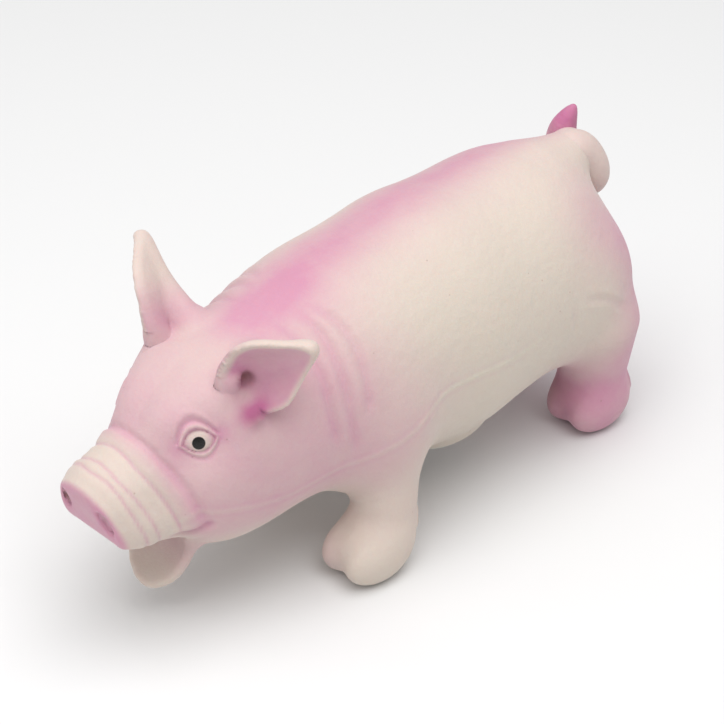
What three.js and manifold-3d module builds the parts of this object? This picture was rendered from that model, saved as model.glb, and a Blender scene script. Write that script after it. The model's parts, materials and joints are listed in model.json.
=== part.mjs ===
// A latex pig for a dog to squeeze: a hollow moulded skin stuffed with fibre, with a reed grunter in its belly.
// Sizes are millimetres. +X runs to the snout, +Y to the pig's left side and +Z up.
// The hooves stand on Z = 0, and the middle of the whole pig's length lies at X = 0.
import * as THREE from "three";
import { mergeVertices } from "three/addons/utils/BufferGeometryUtils.js";
import Module from "manifold-3d";

// Skin and clearances
const SKIN_WALL = 2.5;
const CLEARANCE = 0.3;
const LEAF_GAP = 1;

// Swellings of the trunk: place along the pig, height, and half sizes
const RUMP_X = -64;
const RUMP_Z = 64;
const RUMP_HALF_LENGTH = 36;
const RUMP_HALF_WIDTH = 36;
const RUMP_HALF_HEIGHT = 39;
const BELLY_X = -20;
const BELLY_Z = 60;
const BELLY_HALF_LENGTH = 56;
const BELLY_HALF_WIDTH = 40;
const BELLY_HALF_HEIGHT = 44;
const CHEST_X = 24;
const CHEST_Z = 61;
const CHEST_HALF_LENGTH = 34;
const CHEST_HALF_WIDTH = 37;
const CHEST_HALF_HEIGHT = 38;
const NECK_X = 50;
const NECK_Z = 59;
const NECK_HALF_LENGTH = 26;
const NECK_HALF_WIDTH = 30;
const NECK_HALF_HEIGHT = 29;
const HEAD_X = 72;
const HEAD_Z = 64;
const HEAD_HALF_LENGTH = 28;
const HEAD_HALF_WIDTH = 25;
const HEAD_HALF_HEIGHT = 25;
const TRUNK_BLEND = 18;

// Jowls, one on each side of the head
const JOWL_X = 76;
const JOWL_Y = 12;
const JOWL_Z = 48;
const JOWL_HALF_LENGTH = 22;
const JOWL_HALF_WIDTH = 13;
const JOWL_HALF_HEIGHT = 19;

// Snout: a cone that ends in a flat disc
const SNOUT_ROOT_X = 92;
const SNOUT_ROOT_Z = 60;
const SNOUT_END_X = 110;
const SNOUT_END_Z = 54;
const SNOUT_ROOT_RADIUS = 17;
const SNOUT_END_RADIUS = 15.5;
const SNOUT_DISC_REACH = 9.5;
const SNOUT_DISC_ROUND = 2.5;
const SNOUT_BLEND = 8;

// Where the skin of the head meets the skin of the trunk
const COLLAR_X = 50;

// Swellings of the trunk over the front and hind legs
const SHOULDER_X = 20;
const SHOULDER_Y = 23;
const SHOULDER_Z = 46;
const SHOULDER_HALF_LENGTH = 18.5;
const SHOULDER_HALF_WIDTH = 16;
const SHOULDER_HALF_HEIGHT = 24;
const THIGH_X = -71;
const THIGH_Y = 21;
const THIGH_Z = 52;
const THIGH_HALF_LENGTH = 25;
const THIGH_HALF_WIDTH = 16;
const THIGH_HALF_HEIGHT = 27;
const LIMB_BLEND = 12;

// Front legs: hip ball under the shoulder, tapering to an ankle and two toes
const FRONT_HIP_X = 18;
const FRONT_HIP_Z = 42;
const FRONT_HIP_RADIUS = 14;
const FRONT_ANKLE_X = 24;
const FRONT_ANKLE_Z = 16;
const FRONT_ANKLE_RADIUS = 11.5;
const FRONT_TOE_X = 33;
const FRONT_STANCE = 31;

// Hind legs
const HIND_HIP_X = -78;
const HIND_HIP_Z = 42;
const HIND_HIP_RADIUS = 14;
const HIND_ANKLE_X = -84;
const HIND_ANKLE_Z = 16;
const HIND_ANKLE_RADIUS = 11;
const HIND_TOE_X = -81;
const HIND_STANCE = 24;

// What the four legs share
const HIP_DEPTH = 10;
const TOE_HALF_LENGTH = 13.5;
const TOE_HALF_WIDTH = 7;
const TOE_HALF_HEIGHT = 9.5;
const TOE_SPREAD = 10.5;
const SOLE_FLAT = 0.5;
const TOE_BLEND = 4;
const LEG_GAP = 1.4;
const LEG_SWING = 8;

// Ears: a cupped leaf on a small root ball, leaning back and out
const EAR_ROOT_X = 72;
const EAR_ROOT_LEAN = 42;
const EAR_ROOT_RADIUS = 4.5;
const EAR_ROOT_DEPTH = 3;
const EAR_LENGTH = 41;
const EAR_HEEL = 4;
const EAR_HALF_WIDTH = 13;
const EAR_HALF_THICK = 2;
const EAR_CUP = 4;
const EAR_TIP_TAPER = 0.8;
const EAR_BACK_LEAN = -9.3;
const EAR_OUT_LEAN = 26;
const EAR_RISE = 23.8;
const EAR_FACING = 50;
const EAR_SWING = 20;

// Lower jaw: a hanging scoop on a cross roll under the snout
const JAW_ROOT_X = 82;
const JAW_ROOT_DEPTH = 3;
const JAW_ROLL_RADIUS = 4.5;
const JAW_ROLL_WIDTH = 16;
const JAW_LENGTH = 33.5;
const JAW_HEEL = 5;
const JAW_HALF_WIDTH = 13;
const JAW_HALF_THICK = 3.5;
const JAW_CUP = 5;
const JAW_TIP_TAPER = 0.15;
const JAW_PITCH = 66;
const JAW_SWING = 8;

// Tail: a tapering curl that leaves the rump, turns once and ends upright
const TAIL_ROOT_X = -87;
const TAIL_ROOT_RADIUS = 6;
const TAIL_ROOT_DEPTH = 2;
const TAIL_TIP_RADIUS = 2;
const TAIL_STANDOFF = 4;
const TAIL_BACK = 13.4;
const TAIL_LEFT = 4.8;
const TAIL_RIGHT = 9;
const TAIL_DROP = 12;
const TAIL_RISE = 13.3;
const TAIL_STEPS = 18;
const TAIL_SIDES = 8;
const TAIL_GAP = 0.6;
const TAIL_SWING = 8;

// Flanks: the two soft walls that a squeeze presses in
const FLANK_X = -24;
const FLANK_Z = 62;
const FLANK_HALF_LENGTH = 30;
const FLANK_HALF_HEIGHT = 22;

// Grunter: a round case in the belly with a grille below and a reed inside
const GRUNTER_X = -24;
const CASE_RADIUS = 13;
const CASE_WALL = 1.5;
const CASE_HEIGHT = 27;
const FLANGE_RADIUS = 16;
const FLANGE_THICK = 1.4;
const TOP_PLATE = 1.6;
const AIR_HOLE_RADIUS = 3;
const GRILLE_THICK = 1.6;
const GRILLE_RECESS = 0.6;
const GRILLE_HOLE_RADIUS = 1.4;
const GRILLE_HOLE_CIRCLE = 6.8;
const GRILLE_HOLES = 6;
const REED_BLOCK_RADIUS = 5;
const REED_BLOCK_LENGTH = 14;
const REED_FLAT = 1.5;
const REED_BORE_RADIUS = 2.2;
const REED_BORE_OFFSET = 1.2;
const REED_FLOOR = 2;
const REED_SLOT_WIDTH = 2.2;
const REED_SLOT_LENGTH = 7;
const REED_TONGUE_WIDTH = 3.6;
const REED_TONGUE_THICK = 0.4;
const REED_TONGUE_LENGTH = 12;
const REED_GRIP = 3.5;
const GRIP_RING_WALL = 1.6;

// Fineness of the wrapped forms: sectors round, rings along, and rings on each end
const TRUNK_MESH = [24, 10, 4];
const TRUNK_HOLLOW_MESH = [16, 7, 3];
const HEAD_MESH = [20, 8, 4];
const HEAD_HOLLOW_MESH = [12, 4, 3];
const LEG_MESH = [14, 4, 3];
const LEG_HOLLOW_MESH = [10, 3, 2];
const LEG_ROOM_MESH = [10, 2, 3];
const BALL_MESH = [12, 8];
const SOCKET_MESH = [14, 9];
const LEAF_MESH = [12, 8];
const OVAL_STEPS = 14;

// Colours
const CREAM_LATEX = 0xe9dacd;
const PINK_LATEX = 0xe3aac1;
const EAR_LATEX = 0xdcb4bc;
const FIBRE_WHITE = 0xf1efe9;
const CASE_WHITE = 0xe6e4de;
const REED_BRASS = 0xb89a55;

const UP = new THREE.Vector3(0, 0, 1);
const LEFT = new THREE.Vector3(0, 1, 0);
const BACK = new THREE.Vector3(-1, 0, 0);
const SIDES = { left: 1, right: -1 };

const wasm = await Module();
wasm.setup();

function at(x, y, z) {
  return new THREE.Vector3(x, y, z);
}

// Solids and their geometry

// A closed geometry as a solid. Triangles that collapse at a pole are dropped.
function solidOf(geometry) {
  const bare = new THREE.BufferGeometry();
  bare.setAttribute("position", geometry.getAttribute("position"));
  bare.setIndex(geometry.index);
  const merged = mergeVertices(bare, 1e-4);
  const corners = merged.index.array;
  const kept = [];
  for (let i = 0; i < corners.length; i += 3) {
    const [a, b, c] = [corners[i], corners[i + 1], corners[i + 2]];
    if (a !== b && b !== c && c !== a) kept.push(a, b, c);
  }
  const vertProperties = merged.getAttribute("position").array;
  return new wasm.Manifold(new wasm.Mesh({ numProp: 3, vertProperties, triVerts: new Uint32Array(kept) }));
}

function geometryOf(solid) {
  const mesh = solid.getMesh();
  const places = new Float32Array(mesh.numVert * 3);
  for (let i = 0; i < mesh.numVert; i += 1) {
    places.set(mesh.vertProperties.subarray(i * mesh.numProp, i * mesh.numProp + 3), i * 3);
  }
  const geometry = new THREE.BufferGeometry();
  geometry.setAttribute("position", new THREE.BufferAttribute(places, 3));
  geometry.setIndex(new THREE.BufferAttribute(mesh.triVerts, 1));
  geometry.computeVertexNormals();
  return geometry;
}

function turnAbout(pivot, axis, degrees) {
  const turn = new THREE.Matrix4().makeRotationAxis(axis, THREE.MathUtils.degToRad(degrees));
  const back = new THREE.Matrix4().makeTranslation(-pivot.x, -pivot.y, -pivot.z);
  return new THREE.Matrix4().makeTranslation(pivot.x, pivot.y, pivot.z).multiply(turn).multiply(back);
}

// Angles from one limit of a swing to the other
function swingAngles(limit) {
  return [-limit, 0, limit];
}

function union(solids) {
  return solids.reduce((all, next) => all.add(next));
}

// Box from a low corner to a high corner
function boxBetween(low, high) {
  const size = high.clone().sub(low);
  const middle = low.clone().add(high).divideScalar(2);
  return solidOf(new THREE.BoxGeometry(size.x, size.y, size.z).translate(middle.x, middle.y, middle.z));
}

function ball(radius, centre, fineness) {
  const geometry = new THREE.SphereGeometry(radius, ...fineness);
  return solidOf(geometry.translate(centre.x, centre.y, centre.z));
}

// Upright cylinder that stands on a given foot
function post(radius, height, foot, sides) {
  const geometry = new THREE.CylinderGeometry(radius, radius, height, sides);
  geometry.rotateX(Math.PI / 2);
  return solidOf(geometry.translate(foot.x, foot.y, foot.z + height / 2));
}

// Signed depth of a point: negative under the surface and positive above it

function underEllipsoid(point, centre, half) {
  const share = point.clone().sub(centre).divide(half);
  const reach = share.length();
  const slope = share.divide(half).length();
  return slope > 0 ? (reach * (reach - 1)) / slope : -Math.min(half.x, half.y, half.z);
}

function underCone(point, from, to, fromRadius, toRadius) {
  const line = new THREE.Line3(from, to);
  const along = line.closestPointToPointParameter(point, true);
  const radius = THREE.MathUtils.lerp(fromRadius, toRadius, along);
  return point.distanceTo(line.at(along, new THREE.Vector3())) - radius;
}

// Two forms that flow into each other over a width
function merge(a, b, width) {
  const near = Math.max(width - Math.abs(a - b), 0) / width;
  return Math.min(a, b) - (near * near * width) / 4;
}

const TRUNK = [
  [at(RUMP_X, 0, RUMP_Z), at(RUMP_HALF_LENGTH, RUMP_HALF_WIDTH, RUMP_HALF_HEIGHT)],
  [at(BELLY_X, 0, BELLY_Z), at(BELLY_HALF_LENGTH, BELLY_HALF_WIDTH, BELLY_HALF_HEIGHT)],
  [at(CHEST_X, 0, CHEST_Z), at(CHEST_HALF_LENGTH, CHEST_HALF_WIDTH, CHEST_HALF_HEIGHT)],
  [at(NECK_X, 0, NECK_Z), at(NECK_HALF_LENGTH, NECK_HALF_WIDTH, NECK_HALF_HEIGHT)],
  [at(HEAD_X, 0, HEAD_Z), at(HEAD_HALF_LENGTH, HEAD_HALF_WIDTH, HEAD_HALF_HEIGHT)],
  [at(JOWL_X, JOWL_Y, JOWL_Z), at(JOWL_HALF_LENGTH, JOWL_HALF_WIDTH, JOWL_HALF_HEIGHT)],
];
const HAMS = [
  [at(SHOULDER_X, SHOULDER_Y, SHOULDER_Z), at(SHOULDER_HALF_LENGTH, SHOULDER_HALF_WIDTH, SHOULDER_HALF_HEIGHT)],
  [at(THIGH_X, THIGH_Y, THIGH_Z), at(THIGH_HALF_LENGTH, THIGH_HALF_WIDTH, THIGH_HALF_HEIGHT)],
];
const SNOUT_ROOT = at(SNOUT_ROOT_X, 0, SNOUT_ROOT_Z);
const SNOUT_END = at(SNOUT_END_X, 0, SNOUT_END_Z);
const SNOUT_WAY = SNOUT_END.clone().sub(SNOUT_ROOT).normalize();
const SNOUT_DISC = SNOUT_END.clone().addScaledVector(SNOUT_WAY, SNOUT_DISC_REACH);

// Trunk, head, snout, shoulders and thighs as one flowing form
function underSkin(point) {
  const near = at(point.x, Math.abs(point.y), point.z);
  let depth = TRUNK.map(([centre, half]) => underEllipsoid(near, centre, half))
    .reduce((a, b) => merge(a, b, TRUNK_BLEND));
  const snout = underCone(near, SNOUT_ROOT, SNOUT_END, SNOUT_ROOT_RADIUS, SNOUT_END_RADIUS);
  const beyondDisc = near.clone().sub(SNOUT_DISC).dot(SNOUT_WAY);
  depth = merge(depth, -merge(-snout, -beyondDisc, SNOUT_DISC_ROUND), SNOUT_BLEND);
  for (const [centre, half] of HAMS) depth = merge(depth, underEllipsoid(near, centre, half), LIMB_BLEND);
  return depth;
}

// How far from a point inside the form the surface lies, along a direction
function reachTo(depthAt, level, from, way) {
  let inside = 0;
  let outside = 200;
  for (let step = 0; step < 40; step += 1) {
    const middle = (inside + outside) / 2;
    if (depthAt(from.clone().addScaledVector(way, middle)) < level) inside = middle;
    else outside = middle;
  }
  return inside;
}

// A capsule round a line, each of whose points is moved out to the form's surface.
// A negative level gives a smaller form inside the wall, and a positive one a larger form.
function wrapForm(depthAt, level, from, to, sectors, rings, capRings) {
  const line = new THREE.Line3(from, to);
  const geometry = new THREE.CapsuleGeometry(1, line.distance(), capRings, sectors, rings);
  const way = line.delta(new THREE.Vector3()).normalize();
  geometry.applyQuaternion(new THREE.Quaternion().setFromUnitVectors(LEFT, way));
  const middle = line.getCenter(new THREE.Vector3());
  geometry.translate(middle.x, middle.y, middle.z);
  const places = geometry.getAttribute("position");
  for (let i = 0; i < places.count; i += 1) {
    const point = new THREE.Vector3().fromBufferAttribute(places, i);
    const foot = line.closestPointToPoint(point, true, new THREE.Vector3());
    const ray = point.sub(foot).normalize();
    foot.addScaledVector(ray, reachTo(depthAt, level, foot, ray));
    places.setXYZ(i, foot.x, foot.y, foot.z);
  }
  return solidOf(geometry);
}

// The space that a form needs while it turns about a pivot
function sweptDepth(depthAt, pivot, axis, limit) {
  const turns = swingAngles(limit).map((angle) => turnAbout(pivot, axis, -angle));
  return (point) => Math.min(...turns.map((turn) => depthAt(point.clone().applyMatrix4(turn))));
}

// Trunk and head, as outer forms and as the hollows inside their walls

const FAR = 300;
const COLLAR_GAP_X = COLLAR_X + CLEARANCE;
const BEHIND_COLLAR = boxBetween(at(-FAR, -FAR, -FAR), at(COLLAR_X, FAR, FAR));
const BEFORE_COLLAR = boxBetween(at(COLLAR_GAP_X, -FAR, -FAR), at(FAR, FAR, FAR));
const COLLAR_OVERLAP = 40;
const TRUNK_LINE = [at(RUMP_X, 0, RUMP_Z), at(COLLAR_X, 0, NECK_Z)];
const HEAD_LINE = [at(COLLAR_GAP_X, 0, NECK_Z), SNOUT_END];

function underTrunk(point) {
  return Math.max(underSkin(point), point.x - COLLAR_X - COLLAR_OVERLAP);
}

function underHead(point) {
  return Math.max(underSkin(point), COLLAR_X - COLLAR_OVERLAP - point.x);
}

const HOLLOW_LEVEL = -SKIN_WALL;
const STUFFING_LEVEL = -SKIN_WALL - CLEARANCE;
const trunkOuter = wrapForm(underTrunk, 0, ...TRUNK_LINE, ...TRUNK_MESH);
const trunkHollow = wrapForm(underTrunk, HOLLOW_LEVEL, ...TRUNK_LINE, ...TRUNK_HOLLOW_MESH);
const trunkFilling = wrapForm(underTrunk, STUFFING_LEVEL, ...TRUNK_LINE, ...TRUNK_HOLLOW_MESH);
const headOuter = wrapForm(underHead, 0, ...HEAD_LINE, ...HEAD_MESH);
const headHollow = wrapForm(underHead, HOLLOW_LEVEL, ...HEAD_LINE, ...HEAD_HOLLOW_MESH);
const headFilling = wrapForm(underHead, STUFFING_LEVEL, ...HEAD_LINE, ...HEAD_HOLLOW_MESH);

// The hollows run past the collar, so that trunk and head are open to each other there.
let torsoSkin = trunkOuter.intersect(BEHIND_COLLAR).subtract(trunkHollow);
let torsoStuffing = trunkFilling.intersect(BEHIND_COLLAR);
let headSkin = headOuter.intersect(BEFORE_COLLAR).subtract(headHollow);
let headStuffing = headFilling.intersect(BEFORE_COLLAR);

// The scene graph

const pig = new THREE.Group();
const latex = { roughness: 0.62, metalness: 0 };
const creamLatex = new THREE.MeshStandardMaterial({ color: CREAM_LATEX, ...latex });
const pinkLatex = new THREE.MeshStandardMaterial({ color: PINK_LATEX, ...latex });
const earLatex = new THREE.MeshStandardMaterial({ color: EAR_LATEX, ...latex });
const fibre = new THREE.MeshStandardMaterial({ color: FIBRE_WHITE, roughness: 0.95, metalness: 0 });
const casePlastic = new THREE.MeshStandardMaterial({ color: CASE_WHITE, roughness: 0.4, metalness: 0 });
const reedMetal = new THREE.MeshStandardMaterial({ color: REED_BRASS, roughness: 0.35, metalness: 1 });

// A group that stands at a pivot
function groupAt(pivot) {
  const group = new THREE.Group();
  group.position.copy(pivot);
  pig.add(group);
  return group;
}

// Adds a solid, whose geometry is made relative to its group's place
function addPiece(group, name, solid, material) {
  const { x, y, z } = group.position;
  const mesh = new THREE.Mesh(geometryOf(solid).translate(-x, -y, -z), material);
  mesh.name = name;
  group.add(mesh);
}

// Legs: a hollow shell that is open at the hip, with a plug of stuffing

function makeLeg(name, side, sizes) {
  const inward = at(sizes.hipX, 0, sizes.hipZ);
  const hipY = reachTo(underSkin, 0, inward, LEFT) - HIP_DEPTH;
  const hip = at(sizes.hipX, side * hipY, sizes.hipZ);
  const ankle = at(sizes.ankleX, side * sizes.stance, sizes.ankleZ);
  const toeZ = TOE_HALF_HEIGHT - SOLE_FLAT;
  const toeHalf = at(TOE_HALF_LENGTH, TOE_HALF_WIDTH, TOE_HALF_HEIGHT);
  const toes = [-TOE_SPREAD / 2, TOE_SPREAD / 2]
    .map((spread) => at(sizes.toeX, side * sizes.stance + spread, toeZ));
  const underLeg = (point) => {
    const shank = underCone(point, hip, ankle, sizes.hipRadius, sizes.ankleRadius);
    return toes.reduce((depth, toe) => merge(depth, underEllipsoid(point, toe, toeHalf), TOE_BLEND), shank);
  };
  const foot = at((sizes.ankleX + sizes.toeX) / 2, side * sizes.stance, toeZ);
  const outer = wrapForm(underLeg, 0, hip, foot, ...LEG_MESH);
  const hollow = wrapForm(underLeg, HOLLOW_LEVEL, hip, foot, ...LEG_HOLLOW_MESH);
  const filling = wrapForm(underLeg, STUFFING_LEVEL, hip, foot, ...LEG_HOLLOW_MESH);
  const room = wrapForm(sweptDepth(underLeg, hip, LEFT, LEG_SWING), LEG_GAP, hip, foot, ...LEG_ROOM_MESH);
  const belowFloor = boxBetween(at(-FAR, -FAR, -FAR), at(FAR, FAR, 0));
  const belowPlug = boxBetween(at(-FAR, -FAR, -FAR), at(FAR, FAR, SKIN_WALL + CLEARANCE));
  const mouth = post(sizes.hipRadius - 2 * SKIN_WALL, 2 * sizes.hipRadius, hip, 12);
  const group = groupAt(hip);
  const shell = outer.subtract(belowFloor).subtract(hollow.subtract(belowPlug)).subtract(mouth);
  addPiece(group, name, shell, creamLatex);
  addPiece(group, name + "_stuffing", filling.subtract(belowPlug), fibre);
  torsoSkin = torsoSkin.subtract(room);
  torsoStuffing = torsoStuffing.subtract(room);
}

const FRONT = {
  hipX: FRONT_HIP_X,
  hipZ: FRONT_HIP_Z,
  hipRadius: FRONT_HIP_RADIUS,
  ankleX: FRONT_ANKLE_X,
  ankleZ: FRONT_ANKLE_Z,
  ankleRadius: FRONT_ANKLE_RADIUS,
  toeX: FRONT_TOE_X,
  stance: FRONT_STANCE,
};
const HIND = {
  hipX: HIND_HIP_X,
  hipZ: HIND_HIP_Z,
  hipRadius: HIND_HIP_RADIUS,
  ankleX: HIND_ANKLE_X,
  ankleZ: HIND_ANKLE_Z,
  ankleRadius: HIND_ANKLE_RADIUS,
  toeX: HIND_TOE_X,
  stance: HIND_STANCE,
};
for (const [sideName, side] of Object.entries(SIDES)) {
  makeLeg("front_" + sideName + "_leg", side, FRONT);
  makeLeg("hind_" + sideName + "_leg", side, HIND);
}

// Ears

// A cupped leaf along +X with its hollow facing +Z. Its heel lies behind the origin.
function leafGeometry({ length, heel, halfWidth, halfThick, cup, tipTaper }, margin, fineness) {
  const geometry = new THREE.SphereGeometry(1, ...fineness);
  geometry.rotateZ(Math.PI / 2);
  const places = geometry.getAttribute("position");
  for (let i = 0; i < places.count; i += 1) {
    const along = (places.getX(i) + 1) / 2;
    const across = places.getY(i) * (1 - tipTaper * along * along);
    const rise = cup * across * across;
    const thick = (halfThick + margin) * places.getZ(i);
    const reach = (length + 2 * margin) * along - heel - margin;
    places.setXYZ(i, reach, (halfWidth + margin) * across, thick + rise);
  }
  return geometry;
}

const EAR_LEAF = {
  length: EAR_LENGTH,
  heel: EAR_HEEL,
  halfWidth: EAR_HALF_WIDTH,
  halfThick: EAR_HALF_THICK,
  cup: EAR_CUP,
  tipTaper: EAR_TIP_TAPER,
};

function makeEar(name, side) {
  const lean = THREE.MathUtils.degToRad(EAR_ROOT_LEAN);
  const outward = at(0, side * Math.sin(lean), Math.cos(lean));
  const core = at(EAR_ROOT_X, 0, HEAD_Z);
  const rootReach = reachTo(underSkin, 0, core, outward) - EAR_ROOT_DEPTH;
  const root = core.clone().addScaledVector(outward, rootReach);
  const way = at(EAR_BACK_LEAN, side * EAR_OUT_LEAN, EAR_RISE).normalize();
  // The cup looks ahead and out, square to the ear's length.
  const facing = THREE.MathUtils.degToRad(EAR_FACING);
  const ahead = at(Math.cos(facing), side * Math.sin(facing), 0);
  const face = ahead.clone().addScaledVector(way, -way.dot(ahead)).normalize();
  const across = face.clone().cross(way);
  const pose = new THREE.Matrix4().makeBasis(way, across, face).setPosition(root);
  const leaf = leafGeometry(EAR_LEAF, 0, LEAF_MESH).applyMatrix4(pose);
  const roomy = leafGeometry(EAR_LEAF, LEAF_GAP, LEAF_MESH).applyMatrix4(pose);
  const turns = swingAngles(EAR_SWING).map((angle) => turnAbout(root, across, angle));
  const room = union(turns.map((turn) => solidOf(roomy.clone().applyMatrix4(turn))))
    .add(ball(EAR_ROOT_RADIUS + CLEARANCE, root, SOCKET_MESH));
  addPiece(groupAt(root), name, solidOf(leaf).add(ball(EAR_ROOT_RADIUS, root, BALL_MESH)), earLatex);
  headSkin = headSkin.subtract(room);
  headStuffing = headStuffing.subtract(ball(EAR_HALF_WIDTH + LEAF_GAP, root, SOCKET_MESH));
}
for (const [sideName, side] of Object.entries(SIDES)) makeEar(sideName + "_ear", side);

// Lower jaw

const JAW_LEAF = {
  length: JAW_LENGTH,
  heel: JAW_HEEL,
  halfWidth: JAW_HALF_WIDTH,
  halfThick: JAW_HALF_THICK,
  cup: JAW_CUP,
  tipTaper: JAW_TIP_TAPER,
};

function makeJaw() {
  const core = at(JAW_ROOT_X, 0, JOWL_Z);
  const rootZ = JOWL_Z - reachTo(underSkin, 0, core, at(0, 0, -1)) + JAW_ROOT_DEPTH;
  const root = at(JAW_ROOT_X, 0, rootZ);
  const pitch = THREE.MathUtils.degToRad(JAW_PITCH);
  const pose = new THREE.Matrix4().makeRotationAxis(LEFT, pitch).setPosition(root);
  const scoop = leafGeometry(JAW_LEAF, 0, LEAF_MESH).applyMatrix4(pose);
  const roomy = leafGeometry(JAW_LEAF, LEAF_GAP, LEAF_MESH).applyMatrix4(pose);
  const roll = (radius, width) => {
    const geometry = new THREE.CylinderGeometry(radius, radius, width, 16);
    return solidOf(geometry.translate(root.x, root.y, root.z));
  };
  const turns = swingAngles(JAW_SWING).map((angle) => turnAbout(root, LEFT, angle));
  const room = union(turns.map((turn) => solidOf(roomy.clone().applyMatrix4(turn))))
    .add(roll(JAW_ROLL_RADIUS + CLEARANCE, JAW_ROLL_WIDTH + 2 * CLEARANCE));
  addPiece(groupAt(root), "lower_jaw", solidOf(scoop).add(roll(JAW_ROLL_RADIUS, JAW_ROLL_WIDTH)), pinkLatex);
  headSkin = headSkin.subtract(room);
  headStuffing = headStuffing.subtract(ball(JAW_HALF_WIDTH + LEAF_GAP, root, SOCKET_MESH));
}
makeJaw();

// Tail

// A tapering tube along a curve, closed by a point at each end
function taperedTube(curve, radiusAt, steps, sides) {
  const frames = curve.computeFrenetFrames(steps, false);
  const places = [];
  const faces = [];
  for (let step = 0; step <= steps; step += 1) {
    const middle = curve.getPointAt(step / steps);
    for (let side = 0; side < sides; side += 1) {
      const angle = (2 * Math.PI * side) / sides;
      const point = middle.clone();
      point.addScaledVector(frames.normals[step], Math.cos(angle) * radiusAt(step / steps));
      point.addScaledVector(frames.binormals[step], Math.sin(angle) * radiusAt(step / steps));
      places.push(point.x, point.y, point.z);
    }
  }
  const ringOf = (step, side) => step * sides + (side % sides);
  for (let step = 0; step < steps; step += 1) {
    for (let side = 0; side < sides; side += 1) {
      const [a, b] = [ringOf(step, side), ringOf(step, side + 1)];
      const [c, d] = [ringOf(step + 1, side), ringOf(step + 1, side + 1)];
      faces.push(a, b, d, a, d, c);
    }
  }
  const startCap = places.length / 3;
  places.push(...curve.getPointAt(0).toArray(), ...curve.getPointAt(1).toArray());
  for (let side = 0; side < sides; side += 1) {
    faces.push(startCap, ringOf(0, side + 1), ringOf(0, side));
    faces.push(startCap + 1, ringOf(steps, side), ringOf(steps, side + 1));
  }
  const geometry = new THREE.BufferGeometry();
  geometry.setAttribute("position", new THREE.BufferAttribute(new Float32Array(places), 3));
  return geometry.setIndex(faces);
}

function makeTail() {
  const core = at(TAIL_ROOT_X, 0, RUMP_Z);
  const rootZ = RUMP_Z + reachTo(underSkin, 0, core, UP) - TAIL_ROOT_DEPTH;
  const root = at(TAIL_ROOT_X, 0, rootZ);
  const fromRoot = (back, left, rise) => root.clone().add(at(-back, left, rise));
  const behindRump = (standoff, left, rise) => {
    const middle = at(RUMP_X, left, root.z + rise);
    return middle.clone().addScaledVector(BACK, reachTo(underSkin, standoff, middle, BACK));
  };
  // The curl goes out to the left, back and down, follows the rump across behind, and ends upright on the right.
  const route = [
    root,
    fromRoot(0.37 * TAIL_BACK, 0.2 * TAIL_LEFT, 0.22 * TAIL_RISE),
    fromRoot(0.75 * TAIL_BACK, 0.5 * TAIL_LEFT, 0.08 * TAIL_RISE),
    behindRump(1.6 * TAIL_STANDOFF, TAIL_LEFT, -0.38 * TAIL_DROP),
    behindRump(TAIL_STANDOFF, 0.9 * TAIL_LEFT, -0.83 * TAIL_DROP),
    behindRump(TAIL_STANDOFF, -0.33 * TAIL_RIGHT, -TAIL_DROP),
    behindRump(TAIL_STANDOFF, -TAIL_RIGHT, -0.67 * TAIL_DROP),
    fromRoot(0.75 * TAIL_BACK, -TAIL_RIGHT, -0.08 * TAIL_DROP),
    fromRoot(0.75 * TAIL_BACK, -0.9 * TAIL_RIGHT, 0.38 * TAIL_RISE),
    fromRoot(0.95 * TAIL_BACK, -0.67 * TAIL_RIGHT, TAIL_RISE),
  ];
  const curve = new THREE.CatmullRomCurve3(route);
  const radiusAt = (along) => THREE.MathUtils.lerp(TAIL_ROOT_RADIUS, TAIL_TIP_RADIUS, along);
  const curl = solidOf(taperedTube(curve, radiusAt, TAIL_STEPS, TAIL_SIDES));
  const socket = ball(TAIL_ROOT_RADIUS + CLEARANCE, root, SOCKET_MESH);
  const rumpRoom = sweptDepth(underTrunk, root, UP, TAIL_SWING);
  const rump = wrapForm(rumpRoom, TAIL_GAP, ...TRUNK_LINE, ...TRUNK_MESH);
  const knob = ball(TAIL_ROOT_RADIUS, root, BALL_MESH);
  const shown = curl.subtract(rump.subtract(knob)).add(knob);
  const tail = shown.decompose().sort((a, b) => b.volume() - a.volume())[0];
  addPiece(groupAt(root), "tail", tail, pinkLatex);
  torsoSkin = torsoSkin.subtract(socket);
  torsoStuffing = torsoStuffing.subtract(socket);
}
makeTail();

// Flanks: oval panels of the skin's own wall, free to slide in through their windows

function makeFlank(name, side) {
  const ovalPrism = (margin) => {
    const outline = new THREE.Shape();
    const [halfLength, halfHeight] = [FLANK_HALF_LENGTH + margin, FLANK_HALF_HEIGHT + margin];
    outline.absellipse(FLANK_X, -side * FLANK_Z, halfLength, halfHeight, 0, 2 * Math.PI);
    const prism = new THREE.ExtrudeGeometry(outline, { depth: FAR, bevelEnabled: false, curveSegments: OVAL_STEPS });
    return solidOf(prism.rotateX((-side * Math.PI) / 2));
  };
  addPiece(groupAt(at(FLANK_X, 0, FLANK_Z)), name, torsoSkin.intersect(ovalPrism(0)), creamLatex);
  torsoSkin = torsoSkin.subtract(ovalPrism(CLEARANCE));
}
for (const [sideName, side] of Object.entries(SIDES)) makeFlank(sideName + "_flank", side);

// Grunter: its pieces stand on the lowest line of the belly's skin, at the height 0 of their group

// A closed outline of [radius, height] corners turned about the upright axis
function latheSolid(outline, sides) {
  const points = [...outline, outline[0]].map(([radius, height]) => new THREE.Vector2(radius, height));
  return solidOf(new THREE.LatheGeometry(points, sides).rotateX(Math.PI / 2));
}

function addLocal(group, name, solid, material) {
  const mesh = new THREE.Mesh(geometryOf(solid), material);
  mesh.name = name;
  group.add(mesh);
}

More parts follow.
